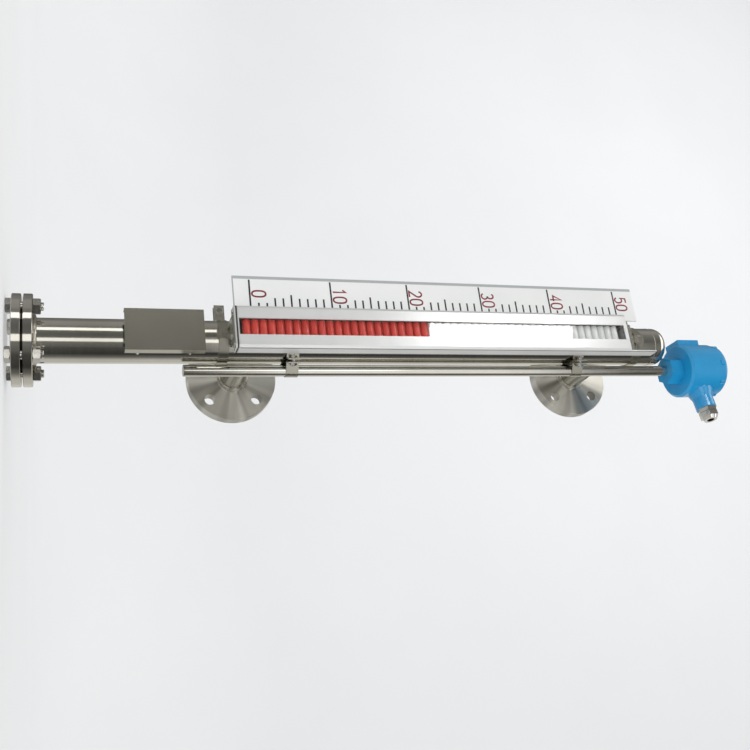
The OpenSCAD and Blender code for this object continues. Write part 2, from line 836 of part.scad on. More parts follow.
module transmitter_tube() color(STEEL) at_axis() translate([rod_x, 0, plug_head - rod_below])
    ring(rod_r, rod_ir, box_z + tube_in_box + rod_below - plug_head);

module transmitter_end_plug() color(STEEL) at_axis() translate([rod_x, 0, -rod_below]) {
    disc(rod_r, plug_head);
    cylinder(r = rod_ir, h = plug_head + rod_plug_l);
}

module reed_strip() color("darkgreen") at_axis()
    translate([rod_x - reed_w / 2, -reed_t / 2, plug_head + rod_plug_l - rod_below])
        cube([reed_w, reed_t, centre_distance + rod_below + reed_top_gap - plug_head - rod_plug_l]);

// Middle of the belt's front straight: +X points outwards, +Y towards the rod
module at_straight() rotate([0, 0, -belt_angle]) translate([0, belt_straight / 2, 0]) children();

module rod_clip(z) color(STEEL) at_axis() translate([0, 0, z]) difference() {
    union() {
        belt_post(band_play + band_t, clip_w);
        at_straight() translate([band_ir, -clip_grip / 2, 0]) cube([band_t + clip_ear, clip_grip, clip_w]);
    }
    translate([0, 0, -eps]) belt_post(band_play, clip_w + 2 * eps);
    at_straight() {
        translate([band_ir - eps, -clip_ear_gap / 2, -eps])
            cube([band_t + clip_ear + 2 * eps, clip_ear_gap, clip_w + 2 * eps]);
        translate([clip_bolt_reach, -clip_grip, clip_w / 2]) rotate([-90, 0, 0])
            cylinder(d = clip_bolt_d, h = 2 * clip_grip);
    }
}

module lower_rod_clip() rod_clip(lower_clip_z0);
module upper_rod_clip() rod_clip(upper_clip_z0);

module at_clip_bolts() at_axis() for (z = [lower_clip_z0, upper_clip_z0])
    translate([0, 0, z + clip_w / 2]) at_straight() translate([clip_bolt_reach, 0, 0]) children();

module clip_bolts() color(STEEL) at_clip_bolts() ear_bolt(clip_bolt_d, clip_hex, clip_grip);
module clip_nuts() color(STEEL) at_clip_bolts() ear_nut(clip_bolt_d, clip_hex, clip_grip);

// Junction box

// The casting in four simple solids that meet at hairline seams
module junction_housing() color(BLUE) {
    box_base();
    box_side();
    box_pad();
    box_entry();
}

// Hexagon boss and floor
module box_base() difference() {
    union() {
        at_box(boss_z) hexagon(boss_hex, boss_h);
        at_box(box_z) rotate_extrude()
            polygon([[0, 0], [box_r - box_edge, 0], [box_r, box_edge], [box_r, box_floor], [0, box_floor]]);
    }
    at_box(boss_z - eps) cylinder(r = rod_r, h = boss_h + tube_in_box + eps);
    at_box(boss_z) cylinder(r = rod_ir, h = boss_h + box_floor + eps);
}

// Round wall with the hole of the cable entry
module box_side() difference() {
    at_box(box_z + box_floor + seam) ring(box_r, cavity_r, box_h - box_floor - seam);
    at_entry(0) cylinder(r = gland_thread_r, h = entry_reach);
}

module box_pad() difference() {
    at_box(box_z) translate([-box_r - pad_h, -pad_w / 2, box_edge]) cube([box_r + pad_h, pad_w, pad_l]);
    at_box(box_z) cylinder(r = box_r + seam, h = box_h);
}

module box_entry() difference() {
    union() {
        at_entry(0) cylinder(d = entry_d, h = entry_reach);
        at_entry(0) cylinder(d = entry_root_d, h = box_r - box_edge);
        at_entry(box_r - box_edge)
            cylinder(d1 = entry_root_d, d2 = entry_d, h = entry_root - box_r + box_edge);
    }
    at_box(box_z - eps) cylinder(r = box_r + seam, h = box_h + 2 * eps);
    at_entry(0) cylinder(r = gland_thread_r, h = entry_reach + eps);
}

// Half section of the cover: a rounded lid and a skirt with a seal groove
module cover_half() difference() {
    union() {
        intersection() {
            rounded_half(cover_r, cover_h, cover_edge);
            square([cover_r, cover_h]);
        }
        translate([skirt_ir, -skirt_l]) square([skirt_wall, skirt_l + eps]);
    }
    translate([-eps, -eps]) square([skirt_ir + eps, cover_room + eps]);
    translate([skirt_r - groove_depth, -groove_land - groove_h]) square([groove_depth + eps, groove_h]);
}

module junction_cover() color(BLUE) at_box(cover_z) {
    rotate_extrude() cover_half();
    for (i = [0:cover_lugs - 1])
        rotate([0, 0, i * 360 / cover_lugs]) translate([cover_r - lug_d * lug_share, 0, 0])
            cylinder(d = lug_d, h = lug_h);
}

module cover_seal() color(RUBBER) at_box(seal_z)
    rotate_extrude() translate([skirt_r - seal_d / 2, 0]) circle(d = seal_d);

module terminal_block() color("ivory") at_box(box_z + box_floor)
    translate([-terminal_l / 2, terminal_y, 0]) cube([terminal_l, terminal_w, terminal_h]);

module terminal_screws() color(STEEL) at_box(box_z + box_floor + terminal_h)
    for (i = [0:terminal_poles - 1])
        translate([(i + 0.5) * terminal_l / terminal_poles - terminal_l / 2, terminal_y + terminal_w / 2, 0])
            cylinder(d = terminal_screw_d, h = terminal_screw_h);

module gland_body() color(STEEL) difference() {
    union() {
        at_entry(entry_reach - gland_spigot) cylinder(r = gland_thread_r, h = gland_spigot);
        at_entry(entry_reach) hexagon(gland_hex, gland_hex_h);
        at_entry(entry_reach + gland_hex_h) cylinder(r = gland_neck_r, h = gland_neck_h);
    }
    at_entry(entry_reach - gland_spigot - eps)
        cylinder(r = gland_bore_r, h = gland_spigot + gland_hex_h + gland_neck_h + 2 * eps);
}

module gland_nut() color(STEEL) at_entry(entry_reach + gland_hex_h + gland_nut_gap) difference() {
    union() {
        hexagon(gland_hex, gland_nut_h);
        translate([0, 0, gland_nut_h])
            cylinder(d1 = gland_top_d, d2 = gland_top_d - gland_dome_h, h = gland_dome_h);
    }
    translate([0, 0, -eps]) cylinder(r = gland_neck_r, h = gland_neck_h - gland_nut_gap + eps);
    cylinder(r = cable_hole_d / 2 + gland_mouth, h = gland_nut_h + gland_dome_h + eps);
}

module gland_seal() color(RUBBER) at_entry(entry_reach)
    ring(gland_bore_r, cable_hole_d / 2, gland_hex_h + gland_neck_h);

// Nodes

chamber_tube();
top_cap();
chamber_flange();
blind_flange();
flange_gasket();
flange_bolts();
flange_nuts();
lower_branch_pipe();
upper_branch_pipe();
lower_process_flange();
upper_process_flange();
float_tube();
float_top_dome();
float_bottom_dome();
float_magnet();
lower_stop_spring();
upper_stop_spring();
nameplate();
nameplate_studs();
indicator_housing();
window_glass();
roller_rail();
red_roller_row();
white_roller_row();
free_roller(1);  // roller_1
free_roller(2);  // roller_2
free_roller(3);  // roller_3
free_roller(4);  // roller_4
free_roller(5);  // roller_5
free_roller(6);  // roller_6
free_roller(7);  // roller_7
free_roller(8);  // roller_8
lower_end_plate();
upper_end_plate();
end_plate_screws();
scale_plate();
scale_screws();
lower_bracket();
upper_bracket();
bracket_screws();
lower_clamp_band();
upper_clamp_band();
clamp_bolts();
clamp_nuts();
transmitter_tube();
transmitter_end_plug();
reed_strip();
lower_rod_clip();
upper_rod_clip();
clip_bolts();
clip_nuts();
junction_housing();
junction_cover();
cover_seal();
terminal_block();
terminal_screws();
gland_body();
gland_nut();
gland_seal();
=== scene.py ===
# %% [markdown]
# A magnetic level gauge, dressed in Blender.
# The real thing is a steel float chamber that bolts to the side of a tank. A float with a
# magnet rides inside it and flips red and white rollers behind a window, next to a scale.
# The CAD model comes in first as a fixed frame, in metres. It stands upright, and everything
# below only gives it finishes, print, fasteners, weld beads, light and a camera.

# %% Load the frame
import json
import math
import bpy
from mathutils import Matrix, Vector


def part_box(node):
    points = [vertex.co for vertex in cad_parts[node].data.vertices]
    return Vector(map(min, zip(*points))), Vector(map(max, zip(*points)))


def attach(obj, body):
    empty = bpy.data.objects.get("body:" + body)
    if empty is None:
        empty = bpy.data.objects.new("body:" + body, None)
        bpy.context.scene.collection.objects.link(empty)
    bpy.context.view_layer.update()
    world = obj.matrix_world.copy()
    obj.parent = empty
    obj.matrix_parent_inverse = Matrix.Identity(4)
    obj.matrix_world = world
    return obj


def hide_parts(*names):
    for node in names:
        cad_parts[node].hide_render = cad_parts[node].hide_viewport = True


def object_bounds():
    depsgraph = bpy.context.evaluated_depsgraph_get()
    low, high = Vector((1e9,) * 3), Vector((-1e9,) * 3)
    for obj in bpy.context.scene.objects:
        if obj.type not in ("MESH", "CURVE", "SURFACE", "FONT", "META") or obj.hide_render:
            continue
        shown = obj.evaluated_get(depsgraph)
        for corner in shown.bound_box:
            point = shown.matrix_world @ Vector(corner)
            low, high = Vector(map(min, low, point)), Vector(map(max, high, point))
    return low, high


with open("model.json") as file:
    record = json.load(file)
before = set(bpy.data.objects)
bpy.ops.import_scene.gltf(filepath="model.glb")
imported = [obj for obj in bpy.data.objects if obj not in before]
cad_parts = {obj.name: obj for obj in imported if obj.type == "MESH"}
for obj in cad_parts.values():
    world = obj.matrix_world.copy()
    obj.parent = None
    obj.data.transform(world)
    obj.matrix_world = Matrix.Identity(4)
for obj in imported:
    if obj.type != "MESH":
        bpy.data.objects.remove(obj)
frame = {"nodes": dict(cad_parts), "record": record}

from types import SimpleNamespace

import bmesh
import bpy
from mathutils import Matrix, Vector

cad_low, cad_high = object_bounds()
scene = bpy.context.scene
print("nodes", len(frame["nodes"]), "box", [round(v, 4) for v in cad_high - cad_low])

# %% [markdown]
# The camera lies on its side, because the gauge was photographed lying down while the model
# stands. Its three axes were solved from the scale's marks, so the render has the same frame.

# %% Camera
SENSOR = 36.0
FOCAL = 44.49
camera_up = Vector((-0.93486, -0.35501, 0.00062)).normalized()
camera_back = Vector((0.33499, -0.88274, -0.32948)).normalized()
camera_right = camera_up.cross(camera_back).normalized()
camera_up = camera_back.cross(camera_right)

camera_data = bpy.data.cameras.new("photo_camera")
camera_data.sensor_width = SENSOR
camera_data.lens = FOCAL
camera_data.clip_start = 0.01
camera = bpy.data.objects.new("photo_camera", camera_data)
scene.collection.objects.link(camera)
camera.matrix_world = Matrix((camera_right, camera_up, camera_back)).transposed().to_4x4()
camera.location = (0.42153, -1.13512, -0.22078)
scene.camera = camera
print("camera at", tuple(round(v, 3) for v in camera.location))

# %% [markdown]
# Small helpers keep the node code short. One adds a node with its settings and sockets, and
# the next ones are the nodes that come up again and again: arithmetic, a change of range, a
# blend of two colours, and a vector taken apart or put together.

# %% Node helpers
def add(tree, kind, sockets=None, **settings):
    made = tree.nodes.new(kind)
    for name, value in settings.items():
        setattr(made, name, value)
    for name, value in (sockets or {}).items():
        if isinstance(value, bpy.types.NodeSocket):
            tree.links.new(value, made.inputs[name])
        else:
            made.inputs[name].default_value = value
    return made


def calc(tree, operation, *values):
    return add(tree, "ShaderNodeMath", dict(enumerate(values)), operation=operation).outputs[0]


def remap(tree, value, low, high, to_low=0.0, to_high=1.0, **settings):
    return add(tree, "ShaderNodeMapRange",
               {"Value": value, "From Min": low, "From Max": high,
                "To Min": to_low, "To Max": to_high}, **settings).outputs["Result"]


def blend(tree, mask, below, above):
    return add(tree, "ShaderNodeMix", {0: mask, 6: below, 7: above}, data_type="RGBA").outputs[2]


def split(tree, vector):
    return add(tree, "ShaderNodeSeparateXYZ", {0: vector}).outputs


def join(tree, **axes):
    return add(tree, "ShaderNodeCombineXYZ", axes).outputs[0]


print("node helpers ready")

# %% [markdown]
# A group is a recipe that several finishes share, such as grinding lines, and each finish
# sets its own numbers on it. This helper starts one with its inputs and outputs.

# %% Group helper
NUMBER, VECTOR, COLOUR = "NodeSocketFloat", "NodeSocketVector", "NodeSocketColor"
GEOMETRY, OBJECT, MATERIAL = "NodeSocketGeometry", "NodeSocketObject", "NodeSocketMaterial"


def start_group(name, kind, inputs, outputs):
    group = bpy.data.node_groups.new(name, kind)
    for label, socket_type, default in inputs:
        socket = group.interface.new_socket(name=label, in_out="INPUT", socket_type=socket_type)
        if default is not None:
            socket.default_value = default
    for label, socket_type in outputs:
        group.interface.new_socket(name=label, in_out="OUTPUT", socket_type=socket_type)
    return group, group.nodes.new("NodeGroupInput"), group.nodes.new("NodeGroupOutput")


print("group helper ready")

# %% [markdown]
# Grinding, rolling and extruding all leave fine parallel lines. They are one noise stretched
# along the direction of work: around a ground tube, along an extrusion, round a turned face.
# The group puts out a roughness between two limits and a height for a faint bump.

# %% Group: fine lines
lines_group, lines_in, lines_out = start_group(
    "fine_lines", "ShaderNodeTree",
    [("Vector", VECTOR, None), ("Stretch", VECTOR, (1.0, 1.0, 1.0)),
     ("Low", NUMBER, 0.2), ("High", NUMBER, 0.4)],
    [("Roughness", NUMBER), ("Height", NUMBER)])
stretched = add(lines_group, "ShaderNodeVectorMath",
                {0: lines_in.outputs["Vector"], 1: lines_in.outputs["Stretch"]},
                operation="MULTIPLY").outputs[0]
streaks = add(lines_group, "ShaderNodeTexNoise",
              {"Vector": stretched, "Scale": 1.0, "Detail": 3.0, "Roughness": 0.6}).outputs["Fac"]
spread = remap(lines_group, streaks, 0.3, 0.7, lines_in.outputs["Low"], lines_in.outputs["High"])
lines_group.links.new(spread, lines_out.inputs["Roughness"])
lines_group.links.new(streaks, lines_out.inputs["Height"])
print("group", lines_group.name)

# %% [markdown]
# Handling leaves cloudy marks: a little darker here, a little duller there. This group blends
# two tones with a soft noise, so no surface is one flat colour.

# %% Group: cloudy tone
cloud_group, cloud_in, cloud_out = start_group(
    "cloudy_tone", "ShaderNodeTree",
    [("Vector", VECTOR, None), ("Scale", NUMBER, 12.0), ("Tone A", COLOUR, (0.5, 0.5, 0.5, 1)),
     ("Tone B", COLOUR, (0.6, 0.6, 0.6, 1))],
    [("Colour", COLOUR)])
cloud = add(cloud_group, "ShaderNodeTexNoise",
            {"Vector": cloud_in.outputs["Vector"], "Scale": cloud_in.outputs["Scale"],
             "Detail": 4.0, "Roughness": 0.55})
tones = blend(cloud_group, remap(cloud_group, cloud.outputs["Fac"], 0.35, 0.65),
              cloud_in.outputs["Tone A"], cloud_in.outputs["Tone B"])
cloud_group.links.new(tones, cloud_out.inputs["Colour"])
print("group", cloud_group.name)

# %% [markdown]
# Each finish starts from the same few lines: a Principled BSDF, the Object coordinates, a
# cloudy tone for the colour and fine lines for roughness and bump. Object coordinates stay
# with the piece when it moves, so nothing slides. The last helper lays another colour over
# the first one wherever a mask says so.

# %% Finish helpers
finishes = {}


def cloudy(tree, place, scale, tone_a, tone_b):
    return add(tree, "ShaderNodeGroup",
               {"Vector": place, "Scale": scale,
                "Tone A": (*tone_a, 1.0), "Tone B": (*tone_b, 1.0)},
               node_tree=cloud_group).outputs["Colour"]


def finish(name, tone_a, tone_b, metallic, rough, stretch,
           scale=14.0, bump=0.05, bump_depth=0.0002, **fixed):
    material = bpy.data.materials.new(name)
    material.use_nodes = True
    tree = material.node_tree
    tree.nodes.clear()
    place = add(tree, "ShaderNodeTexCoord").outputs["Object"]
    colour = cloudy(tree, place, scale, tone_a, tone_b)
    lines = add(tree, "ShaderNodeGroup",
                {"Vector": place, "Stretch": stretch, "Low": rough[0], "High": rough[1]},
                node_tree=lines_group)
    relief = add(tree, "ShaderNodeBump",
                 {"Strength": bump, "Distance": bump_depth, "Height": lines.outputs["Height"]})
    shader = add(tree, "ShaderNodeBsdfPrincipled",
                 {"Base Color": colour, "Roughness": lines.outputs["Roughness"],
                  "Normal": relief.outputs["Normal"], "Metallic": metallic})
    for label, value in fixed.items():
        shader.inputs[label.replace("_", " ")].default_value = value
    add(tree, "ShaderNodeOutputMaterial", {"Surface": shader.outputs["BSDF"]})
    finishes[name] = material
    return SimpleNamespace(tree=tree, place=place, colour=colour, lines=lines, shader=shader)


def paint_over(made, mask, colour):
    mixed = blend(made.tree, mask, made.colour, colour)
    made.tree.links.new(mixed, made.shader.inputs["Base Color"])


print("finish helpers ready")

# %% [markdown]
# The steels. The tube is polished round its girth, so its lines run across the axis and its
# highlights are long and clean. Sheet parts are brushed, fasteners are satin. Stainless steel
# is a warm olive grey, never pure white. A stretch of three equal numbers is an even grain.

# %% Steel finishes
AROUND = (30.0, 30.0, 2400.0)
ALONG = (1800.0, 1800.0, 12.0)
FINE = (90.0, 2600.0, 2600.0)


def even(size):
    return (size, size, size)


finish("polished_steel", (0.56, 0.545, 0.495), (0.63, 0.62, 0.575), 1.0, (0.09, 0.17),
       AROUND, bump=0.03)
finish("sheet_steel", (0.40, 0.39, 0.335), (0.46, 0.45, 0.395), 1.0, (0.24, 0.27), FINE, bump=0.004)
finish("weld_steel", (0.40, 0.38, 0.33), (0.56, 0.53, 0.46), 1.0, (0.22, 0.38),
       even(180.0), scale=90.0)
finish("fastener_steel", (0.56, 0.55, 0.52), (0.68, 0.67, 0.64), 1.0, (0.08, 0.2), even(260.0))
finish("inner_steel", (0.5, 0.5, 0.48), (0.6, 0.6, 0.58), 1.0, (0.25, 0.4), AROUND)
finish("nickel", (0.66, 0.65, 0.62), (0.78, 0.77, 0.74), 1.0, (0.04, 0.1), even(400.0))
print("steels", sorted(finishes))

# %% [markdown]
# Flange faces come off a lathe. Their grooves are rings, so the highlight spreads into a fan
# from the centre. Anisotropy with a radial tangent gives that fan, and the ring lines are
# noise on the distance from the flange's axis. The two process flanges share one finish:
# a wrap folds the upper one onto the lower one, because they are half a metre apart. Their
# wide faces also get painted highlight wedges, lighter and darker in turn, from a noise on
# the direction alone; they stand in for the bright and dark sectors of the fan.

# %% Turned finishes
CENTRE_DISTANCE = 0.5
STANDOFF = 0.132
RING_LINES = (3200.0, 3200.0, 1.0)
QUARTER_TURN = 0.25


def turned(name, axis, rough, flats):
    made = finish(name, (0.55, 0.535, 0.485), (0.62, 0.61, 0.565), 1.0, rough, RING_LINES)
    tree, shader, at = made.tree, made.shader, split(made.tree, made.place)
    if axis == "Y":
        side = calc(tree, "WRAP", at["Z"], CENTRE_DISTANCE / 2, -CENTRE_DISTANCE / 2)
        depth = at["Y"]
    else:
        side = calc(tree, "ADD", at["Y"], STANDOFF)
        depth = at["Z"]
    flat = join(tree, X=at["X"], Y=side)
    reach = add(tree, "ShaderNodeVectorMath", {0: flat}, operation="LENGTH").outputs["Value"]
    tree.links.new(join(tree, X=reach, Y=depth), made.lines.inputs["Vector"])
    tangent = add(tree, "ShaderNodeTangent", direction_type="RADIAL", axis=axis)
    tree.links.new(tangent.outputs[0], shader.inputs["Tangent"])
    shader.inputs["Anisotropic"].default_value = flats
    shader.inputs["Anisotropic Rotation"].default_value = QUARTER_TURN
    if axis == "Y":
        # painted highlight: lighter and darker wedges in the base colour stand in for the fan's
        # reflections
        way = add(tree, "ShaderNodeVectorMath", {0: flat}, operation="NORMALIZE").outputs[0]
        painted_fan_wedge = add(tree, "ShaderNodeTexNoise", {"Vector": way, "Scale": 2.1, "Detail": 1.5})
        level = remap(tree, painted_fan_wedge.outputs["Fac"], 0.36, 0.62, 0.7, 1.55)
        painted_fan_tone = add(tree, "ShaderNodeVectorMath", {0: made.colour, "Scale": level},
                     operation="SCALE")
        tree.links.new(painted_fan_tone.outputs[0], shader.inputs["Base Color"])


turned("turned_side", "Y", (0.33, 0.43), 0.92)
turned("turned_upright", "Z", (0.05, 0.11), 0.2)
print("turned finishes ready")

# %% [markdown]
# The indicator housing is drawn aluminium with a silver anodised skin: pale, satin, with
# faint lines along its length. A thin dark line of painted shade follows the corner between
# its front and its side, where the front strip meets the body; it is a mask on the position.

# %% Aluminium
CORNER_SHADE, SIDE_SKIN = 0.0018, 0.0002
housing_low, housing_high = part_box("indicator_housing")
housing = finish("anodised_aluminium", (0.68, 0.695, 0.70), (0.74, 0.75, 0.755), 0.5, (0.3, 0.4),
                 ALONG, bump=0.03)
tree, at = housing.tree, split(housing.tree, housing.place)
on_side = calc(tree, "GREATER_THAN", calc(tree, "ABSOLUTE", at["X"]), housing_high.x - SIDE_SKIN)
shaded_corner = calc(tree, "COMPARE", at["Y"], housing_low.y + 2 * CORNER_SHADE, CORNER_SHADE / 2)
# painted shade: a thin dark line on the side wall, where the front strip meets the body
paint_over(housing, calc(tree, "MULTIPLY", on_side, shaded_corner), (0.09, 0.095, 0.095, 1.0))
print("aluminium ready, housing", round(housing_high.x - housing_low.x, 4), "wide")

# %% [markdown]
# The plastics and other dull materials need no more than the helper gives. The rail behind
# the rollers is dark moulded plastic.

# %% Plastics and dull materials
finish("rail_plastic", (0.06, 0.022, 0.018), (0.1, 0.04, 0.03), 0.0, (0.45, 0.6), even(300.0))
finish("rubber", (0.012, 0.012, 0.012), (0.03, 0.03, 0.03), 0.0, (0.6, 0.8), even(500.0), bump=0.3)
finish("magnet", (0.06, 0.06, 0.065), (0.12, 0.12, 0.125), 0.2, (0.5, 0.7), even(300.0), bump=0.2)
finish("board", (0.5, 0.47, 0.36), (0.62, 0.59, 0.48), 0.0, (0.4, 0.55), even(200.0))
print("finishes", len(finishes))

# %% [markdown]
# The lower end plate is seen edge on. A groove runs round its edge between two bright
# lands, and its shade is painted: a mask on the height inside the plate's thickness darkens the
# middle.

# %% End plate edge
GROOVE_SHADE_SHARE = 0.2
plate_low, plate_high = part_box("lower_end_plate")
end_plate = finish("end_plate", (0.62, 0.63, 0.63), (0.70, 0.71, 0.71), 0.6, (0.3, 0.42),
                   ALONG, bump=0.03)
height = split(end_plate.tree, end_plate.place)["Z"]
# painted shade of the groove: the middle of the plate's edge is darkened
painted_groove_shade = calc(end_plate.tree, "COMPARE", height, (plate_low.z + plate_high.z) / 2,
              (plate_high.z - plate_low.z) * GROOVE_SHADE_SHARE)
paint_over(end_plate, painted_groove_shade, (0.06, 0.06, 0.058, 1.0))
print("end plate ready")

# %% [markdown]
# A roller is half red and half white, and turns half a turn when the magnet passes. So its
# colour is chosen by which side of its own axle a point lies on, at rest: the red rows show
# red to the front and hide white behind, the white rows the other way round.

# %% Roller finishes
ROLLER_AXLE = -0.170
ROLLER_CLOUDS = 60.0
RED = (0.57, 0.034, 0.022), (0.66, 0.055, 0.038)
WHITE = (0.74, 0.75, 0.745), (0.82, 0.825, 0.82)


def roller_finish(name, front, back):
    made = finish(name, *front, 0.0, (0.28, 0.42), (90.0, 700.0, 700.0),
                  scale=ROLLER_CLOUDS, bump=0.04)
    hidden = cloudy(made.tree, made.place, ROLLER_CLOUDS, *back)
    behind = calc(made.tree, "GREATER_THAN", split(made.tree, made.place)["Y"], ROLLER_AXLE)
    paint_over(made, behind, hidden)


roller_finish("roller_red", RED, WHITE)
roller_finish("roller_white", WHITE, RED)
print("rollers two toned")

# %% [markdown]
# The scale plate is white enamel on sheet. Its outer edge carries a grey strip about four
# millimetres wide, and its lower edge a thin grey line; both are masks on the position.

# %% Scale enamel
EDGE_STRIP_X, EDGE_LINE_Z = -0.0712, -0.0188
enamel = finish("scale_white", (0.80, 0.815, 0.82), (0.85, 0.86, 0.865), 0.0, (0.5, 0.6),
                even(200.0), scale=9.0, bump=0.04, Specular_IOR_Level=0.25)
tree, at = enamel.tree, split(enamel.tree, enamel.place)
outer = calc(tree, "LESS_THAN", at["X"], EDGE_STRIP_X)
lower = calc(tree, "LESS_THAN", at["Z"], EDGE_LINE_Z)
paint_over(enamel, calc(tree, "MAXIMUM", outer, lower), (0.40, 0.42, 0.43, 1.0))
print("scale enamel ready")

# %% [markdown]
# The junction box is cast aluminium under thick blue paint. Such paint has a gloss coat over
# an uneven, slightly dimpled ground, so a coarse noise drives the bump.

# %% Blue paint
finish("blue_paint", (0.004, 0.265, 0.56), (0.006, 0.295, 0.62), 0.0, (0.3, 0.42), even(260.0),
       scale=30.0, bump=0.08, bump_depth=0.0006, Coat_Weight=0.8, Coat_Roughness=0.08)
print("paint ready")

# %% [markdown]
# The window is a clear strip. Light must reach the rollers behind it, so shadow rays pass
# straight through while the camera sees real reflections.

# %% Window glass
glass = bpy.data.materials.new("glass")
glass.use_nodes = True
tree = glass.node_tree
tree.nodes.clear()
pane = add(tree, "ShaderNodeBsdfPrincipled",
           {"Base Color": (0.97, 0.985, 0.98, 1.0), "Roughness": 0.02, "IOR": 1.47,
            "Transmission Weight": 1.0})
clear = add(tree, "ShaderNodeBsdfTransparent")
rays = add(tree, "ShaderNodeLightPath")
passing = add(tree, "ShaderNodeMixShader",
              {0: rays.outputs["Is Shadow Ray"], 1: pane.outputs[0], 2: clear.outputs[0]})
add(tree, "ShaderNodeOutputMaterial", {"Surface": passing.outputs[0]})
finishes["glass"] = glass
print("glass ready")

# %% [markdown]
# Every CAD node already names its material slot in the record. Going through that list gives
# each node its finish. Only the flanges, by the way their axis points, and the lower end plate
# get one of their own.

# %% Give the CAD nodes their finishes
SIDE_FLANGES = ("lower_process_flange", "upper_process_flange")
for part in frame["record"]["subparts"]:
    node_name, slot_name = part["node"], part["material_slot"]
    if slot_name == "turned_steel":
        slot_name = "turned_side" if node_name in SIDE_FLANGES else "turned_upright"
    if node_name == "lower_end_plate":
        slot_name = "end_plate"
    shown = frame["nodes"][node_name]
    shown.data.materials.clear()
    shown.data.materials.append(finishes[slot_name])

# %% [markdown]
# Pieces made here are plain meshes at the origin. A Geometry Nodes tree makes what repeats;
# then new_from_object turns its result into an ordinary mesh and the modifier goes.

# %% Piece helpers
def new_piece(name, mesh):
    piece = bpy.data.objects.new(name, mesh)
    scene.collection.objects.link(piece)
    return piece


def mesh_from(name, build):
    work = bmesh.new()
    build(work)
    mesh = bpy.data.meshes.new(name)
    work.to_mesh(mesh)
    work.free()
    return mesh


def run_tree(piece, tree, values):
    modifier = piece.modifiers.new(tree.name, "NODES")
    modifier.node_group = tree
    for item in tree.interface.items_tree:
        if item.in_out == "INPUT" and item.name in values:
            modifier[item.identifier] = values[item.name]
    piece.update_tag()
    graph = bpy.context.evaluated_depsgraph_get()
    made = bpy.data.meshes.new_from_object(piece.evaluated_get(graph), depsgraph=graph)
    piece.modifiers.clear()
    piece.data = made
    made.name = piece.name
    return piece


def keep(piece, body):
    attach(piece, body)
    print(piece.name, len(piece.data.polygons), "faces")


print("piece helpers ready")

# %% [markdown]
# The printed marks on the scale follow a rule: a line every centimetre, long at the tens,
# a bit longer at the fives, and short at the ones and twos, where the numeral needs room.
# So one tree makes them from a row of points and a thin bar.

# %% Tree: scale marks
marks, marks_in, marks_out = start_group(
    "scale_marks", "GeometryNodeTree",
    [("Geometry", GEOMETRY, None), ("Count", "NodeSocketInt", 51), ("Pitch", NUMBER, 0.01),
     ("Ten", NUMBER, 0.044), ("Five", NUMBER, 0.026), ("Plain", NUMBER, 0.021),
     ("Short", NUMBER, 0.014), ("Stroke", NUMBER, 0.001), ("Film", NUMBER, 0.0002),
     ("Start X", NUMBER, -0.026), ("Face Y", NUMBER, -0.1585), ("Material", MATERIAL, None)],
    [("Geometry", GEOMETRY)])
given = marks_in.outputs
row = add(marks, "GeometryNodeMeshLine",
          {"Count": given["Count"], "Offset": join(marks, Z=given["Pitch"])}, mode="OFFSET")
digit = calc(marks, "MODULO", add(marks, "GeometryNodeInputIndex").outputs[0], 10.0)
length = given["Plain"]
for label, middle, reach in (("Short", 1.5, 0.6), ("Five", 5.0, 0.1), ("Ten", 0.0, 0.1)):
    chosen = calc(marks, "COMPARE", digit, middle, reach)
    longer = calc(marks, "SUBTRACT", given[label], length)
    length = calc(marks, "MULTIPLY_ADD", chosen, longer, length)
bar_middle = calc(marks, "MULTIPLY_ADD", length, -0.5, given["Start X"])
placed = add(marks, "GeometryNodeSetPosition",
             {"Geometry": row.outputs[0], "Offset": join(marks, X=bar_middle, Y=given["Face Y"])})
bar = add(marks, "GeometryNodeMeshCube",
          {"Size": join(marks, X=1.0, Y=given["Film"], Z=given["Stroke"])})
bars = add(marks, "GeometryNodeInstanceOnPoints",
           {"Points": placed.outputs[0], "Instance": bar.outputs["Mesh"],
            "Scale": join(marks, X=length, Y=1.0, Z=1.0)})
real = add(marks, "GeometryNodeRealizeInstances", {0: bars.outputs[0]})
inked = add(marks, "GeometryNodeSetMaterial",
            {"Geometry": real.outputs[0], "Material": given["Material"]})
marks.links.new(inked.outputs[0], marks_out.inputs[0])
print("tree", marks.name, len(marks.nodes), "nodes")

# %% [markdown]
# The ink is a thin film on the plate's face: black for the marks, dark red for the numerals.

# %% Print the marks
SCALE_STEP, STROKE = 0.01, 0.0021
finish("print_black", (0.008, 0.009, 0.012), (0.016, 0.018, 0.022), 0.0, (0.35, 0.5),
       even(300.0), bump=0.02)
finish("print_red", (0.19, 0.006, 0.014), (0.25, 0.012, 0.022), 0.0, (0.35, 0.5),
       even(300.0), bump=0.02)
SCALE_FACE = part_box("scale_plate")[0].y
scale_marks = run_tree(
    new_piece("scale_marks", bpy.data.meshes.new("scale_marks")), marks,
    {"Count": 51, "Pitch": SCALE_STEP, "Ten": 0.0443, "Five": 0.0255, "Plain": 0.0209,
     "Short": 0.0143, "Stroke": STROKE, "Film": 0.0002, "Start X": -0.026, "Face Y": SCALE_FACE,
     "Material": finishes["print_black"]})
keep(scale_marks, "gauge")

# %% [markdown]
# The numerals are drawn like a sign writer's single stroke: a path for each digit, and a flat
# ribbon of even width along it. That gives the thin, tall figures of such scales, which a
# ready font would draw too heavy. Each path lies in a box one unit wide and one unit high.

# %% Numeral paths
def arc(cx, cy, rx, ry, start, stop, steps=20):
    turn = [math.radians(start + (stop - start) * i / steps) for i in range(steps + 1)]
    return [(cx + rx * math.cos(a), cy + ry * math.sin(a)) for a in turn]


def oval(power=2.5, steps=48):
    ring = []
    for i in range(steps):
        c, s = math.cos(2 * math.pi * i / steps), math.sin(2 * math.pi * i / steps)
        ring.append((0.5 + 0.5 * math.copysign(abs(c) ** (2 / power), c),
                     0.5 + 0.5 * math.copysign(abs(s) ** (2 / power), s)))
    return ring + ring[:2]


